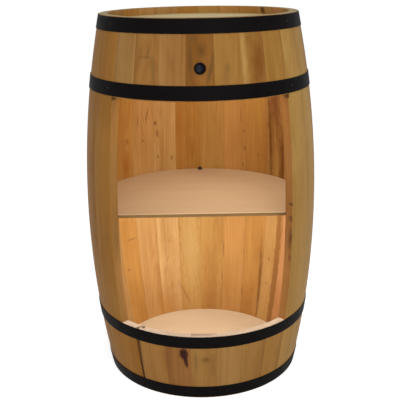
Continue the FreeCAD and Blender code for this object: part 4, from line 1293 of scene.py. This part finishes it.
class StripLights:
    """LED strips, their packages, the leads that feed them and the cable grommet."""

    def build(self) -> None:
        """Builds the strips, leads, clips and grommet."""
        sheath = Moulded("lead_vinyl", "lead_sheath", (0.018, 0.018, 0.019), 0.45, 0.4)
        nylon = Moulded("clip_nylon", "clip_plastic", (0.66, 0.65, 0.60), 0.45, 0.4, 0.1)
        rubber = Moulded("grommet_skin", "grommet_rubber", (0.060, 0.024, 0.008), 0.7, 0.05)
        carry(StripFilm("strip_circuit", "strip_film"), 0.0001, "led_strip_upper", "led_strip_lower")
        carry(WarmLight("led_glow", "led_package"), 0.0002, "led_chips_upper", "led_chips_lower")
        carry(sheath, 0.0, "supply_lead", "upper_strip_lead", "lower_strip_lead")
        carry(nylon, 0.0002, "lead_clips")
        carry(rubber, 0.0002, "cable_grommet")


# ---- light, floor and camera

@dataclass
class Lamp:
    """Soft rectangular lamp."""

    name: str
    place: Place
    aim: Place
    width: float
    depth: float
    power: float
    colour: Colour = WHITE

    def build(self) -> None:
        """Hangs the lamp and points it at its aim."""
        data = bpy.data.lights.new(self.name, "AREA")
        data.shape = "RECTANGLE"
        data.size = self.width
        data.size_y = self.depth
        data.energy = self.power
        data.color = self.colour
        lamp = bpy.data.objects.new(self.name, data)
        lamp.location = self.place
        direction = Vector(self.aim) - Vector(self.place)
        lamp.rotation_euler = direction.to_track_quat("-Z", "Y").to_euler()
        lamp.visible_camera = False
        bpy.context.scene.collection.objects.link(lamp)


@dataclass
class CabinetGlow:
    """Light of the two LED strips, as long thin lamps by their packages, and its return from the top board."""

    upper_azimuths: tuple[float, ...] = (-32.0, -16.0, 0.0, 16.0, 32.0)
    upper_height: float = 0.6642
    upper_drop: float = 0.10
    upper_stand_off: float = 0.0045
    upper_power: float = 0.42
    upper_warm: Colour = (1.0, 0.86, 0.62)
    others: tuple[Lamp, ...] = (
        Lamp("top_board_glow", (0.09, 0.03, 0.775), (0.09, 0.05, 0.40), 0.18, 0.20, 0.82, (1.0, 0.99, 0.90)),
        Lamp("lower_strip_glow", (0.0, -0.1245, 0.384), (0.0, 0.0705, 0.220), 0.240, 0.006, 2.15,
             (0.88, 0.94, 1.04)),
    )

    def build(self) -> None:
        """Hangs the lamps."""
        radius = FORM.radius(self.upper_height, -FORM.wall) - self.upper_stand_off
        aim = (0.0, 0.0, self.upper_height - self.upper_drop)
        for index, azimuth in enumerate(self.upper_azimuths):
            turn = math.radians(azimuth)
            spot = (radius * math.sin(turn), -radius * math.cos(turn), self.upper_height)
            Lamp(f"upper_strip_glow_{index + 1}", spot, aim, 0.050, 0.007,
                 self.upper_power / len(self.upper_azimuths), self.upper_warm).build()
        for lamp in self.others:
            lamp.build()


@dataclass
class Studio:
    """White room with a pale floor, soft light from the sky and one broad lamp from the front right."""

    sky: float = 0.50
    floor_colour: Colour = (0.82, 0.82, 0.82)
    floor_size: float = 40.0
    lift: float = 0.62
    lamps: tuple[Lamp, ...] = (
        Lamp("front_lamp", (0.8, -2.7, 1.7), (0.0, 0.0, 0.40), 2.4, 2.4, 51.5),
        Lamp("side_lamp", (-2.6, -1.2, 1.6), (0.0, 0.0, 0.40), 1.8, 1.8, 9.0),
        Lamp("low_lamp", (0.0, -3.0, 0.60), (0.0, 0.0, 0.40), 2.0, 0.8, 14.0),
    )

    def build(self) -> None:
        """Lays the floor, lights the sky and hangs the lamps."""
        self._floor()
        self._sky()
        for lamp in self.lamps:
            lamp.build()
        bpy.context.scene.view_settings.view_transform = "Standard"

    @staticmethod
    def _seen(graph: Graph) -> Socket:
        """Gives one for rays that look, reflect or pass straight through, and nought for light."""
        path = graph.node("ShaderNodeLightPath").outputs
        seen = graph.maths("MAXIMUM", path["Is Camera Ray"], path["Is Glossy Ray"])
        return graph.maths("MAXIMUM", seen, path["Is Transmission Ray"])

    def _floor(self) -> None:
        """Lays the floor, which looks white where no shadow lies."""
        shape = bmesh.new()
        bmesh.ops.create_grid(shape, x_segments=1, y_segments=1, size=self.floor_size)
        floor = Workshop.object(shape, "studio_floor")
        material = bpy.data.materials.new("floor_paper")
        material.use_nodes = True
        graph = Graph(material.node_tree)
        paper = graph.node("ShaderNodeBsdfDiffuse")
        lift = graph.node("ShaderNodeEmission")
        both = graph.node("ShaderNodeAddShader")
        output = graph.node("ShaderNodeOutputMaterial")
        for socket, value in ((paper.inputs["Color"], self.floor_colour), (lift.inputs["Color"], WHITE),
                              (lift.inputs["Strength"], graph.times(self._seen(graph), self.lift)),
                              (both.inputs[0], paper.outputs[0]), (both.inputs[1], lift.outputs[0]),
                              (output.inputs["Surface"], both.outputs[0])):
            graph.feed(socket, value)
        floor.data.materials.append(material)

    def _sky(self) -> None:
        """Lights the room evenly and shows it white."""
        world = bpy.data.worlds.new("studio_sky")
        world.use_nodes = True
        graph = Graph(world.node_tree)
        sky = graph.node("ShaderNodeBackground")
        graph.feed(sky.inputs["Color"], WHITE)
        graph.feed(sky.inputs["Strength"], graph.scaled(self._seen(graph), 1.0 - self.sky, self.sky))
        graph.feed(graph.node("ShaderNodeOutputWorld").inputs["Surface"], sky.outputs[0])
        bpy.context.scene.world = world


@dataclass
class ViewPoint:
    """Camera at standing height in front of the cabinet. Its angles are in radians, its lens in millimetres."""

    place: Place = (-0.01275, -1.68545, 0.9087)
    pitch: float = 0.3014
    roll: float = -0.0155
    yaw: float = 0.006109
    lens: float = 68.64
    sensor: float = 36.0
    reach: float = 200.0

    def build(self) -> None:
        """Sets up the camera and makes it the scene's own."""
        data = bpy.data.cameras.new("view")
        data.lens = self.lens
        data.sensor_width = self.sensor
        data.clip_end = self.reach
        ahead = Vector((math.sin(self.yaw) * math.cos(self.pitch), math.cos(self.yaw) * math.cos(self.pitch),
                        -math.sin(self.pitch)))
        right = Vector((math.cos(self.yaw), -math.sin(self.yaw), 0.0))
        up = right.cross(ahead)
        level = math.cos(self.roll)
        tilt = math.sin(self.roll)
        turned = Matrix((right * level + up * tilt, up * level - right * tilt, -ahead)).transposed().to_4x4()
        camera = bpy.data.objects.new("view", data)
        camera.matrix_world = Matrix.Translation(Vector(self.place)) @ turned
        bpy.context.scene.collection.objects.link(camera)
        bpy.context.scene.camera = camera


def main() -> None:
    """Builds the cabinet's pieces, its light and its view in order."""
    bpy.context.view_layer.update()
    for part in (ViewPoint(), StaveWall(), HoopSet(), Boards(), SwitchFit(), StripLights(), CabinetGlow(), Studio()):
        part.build()
    log.info("all pieces built")


if __name__ == "__main__":
    main()
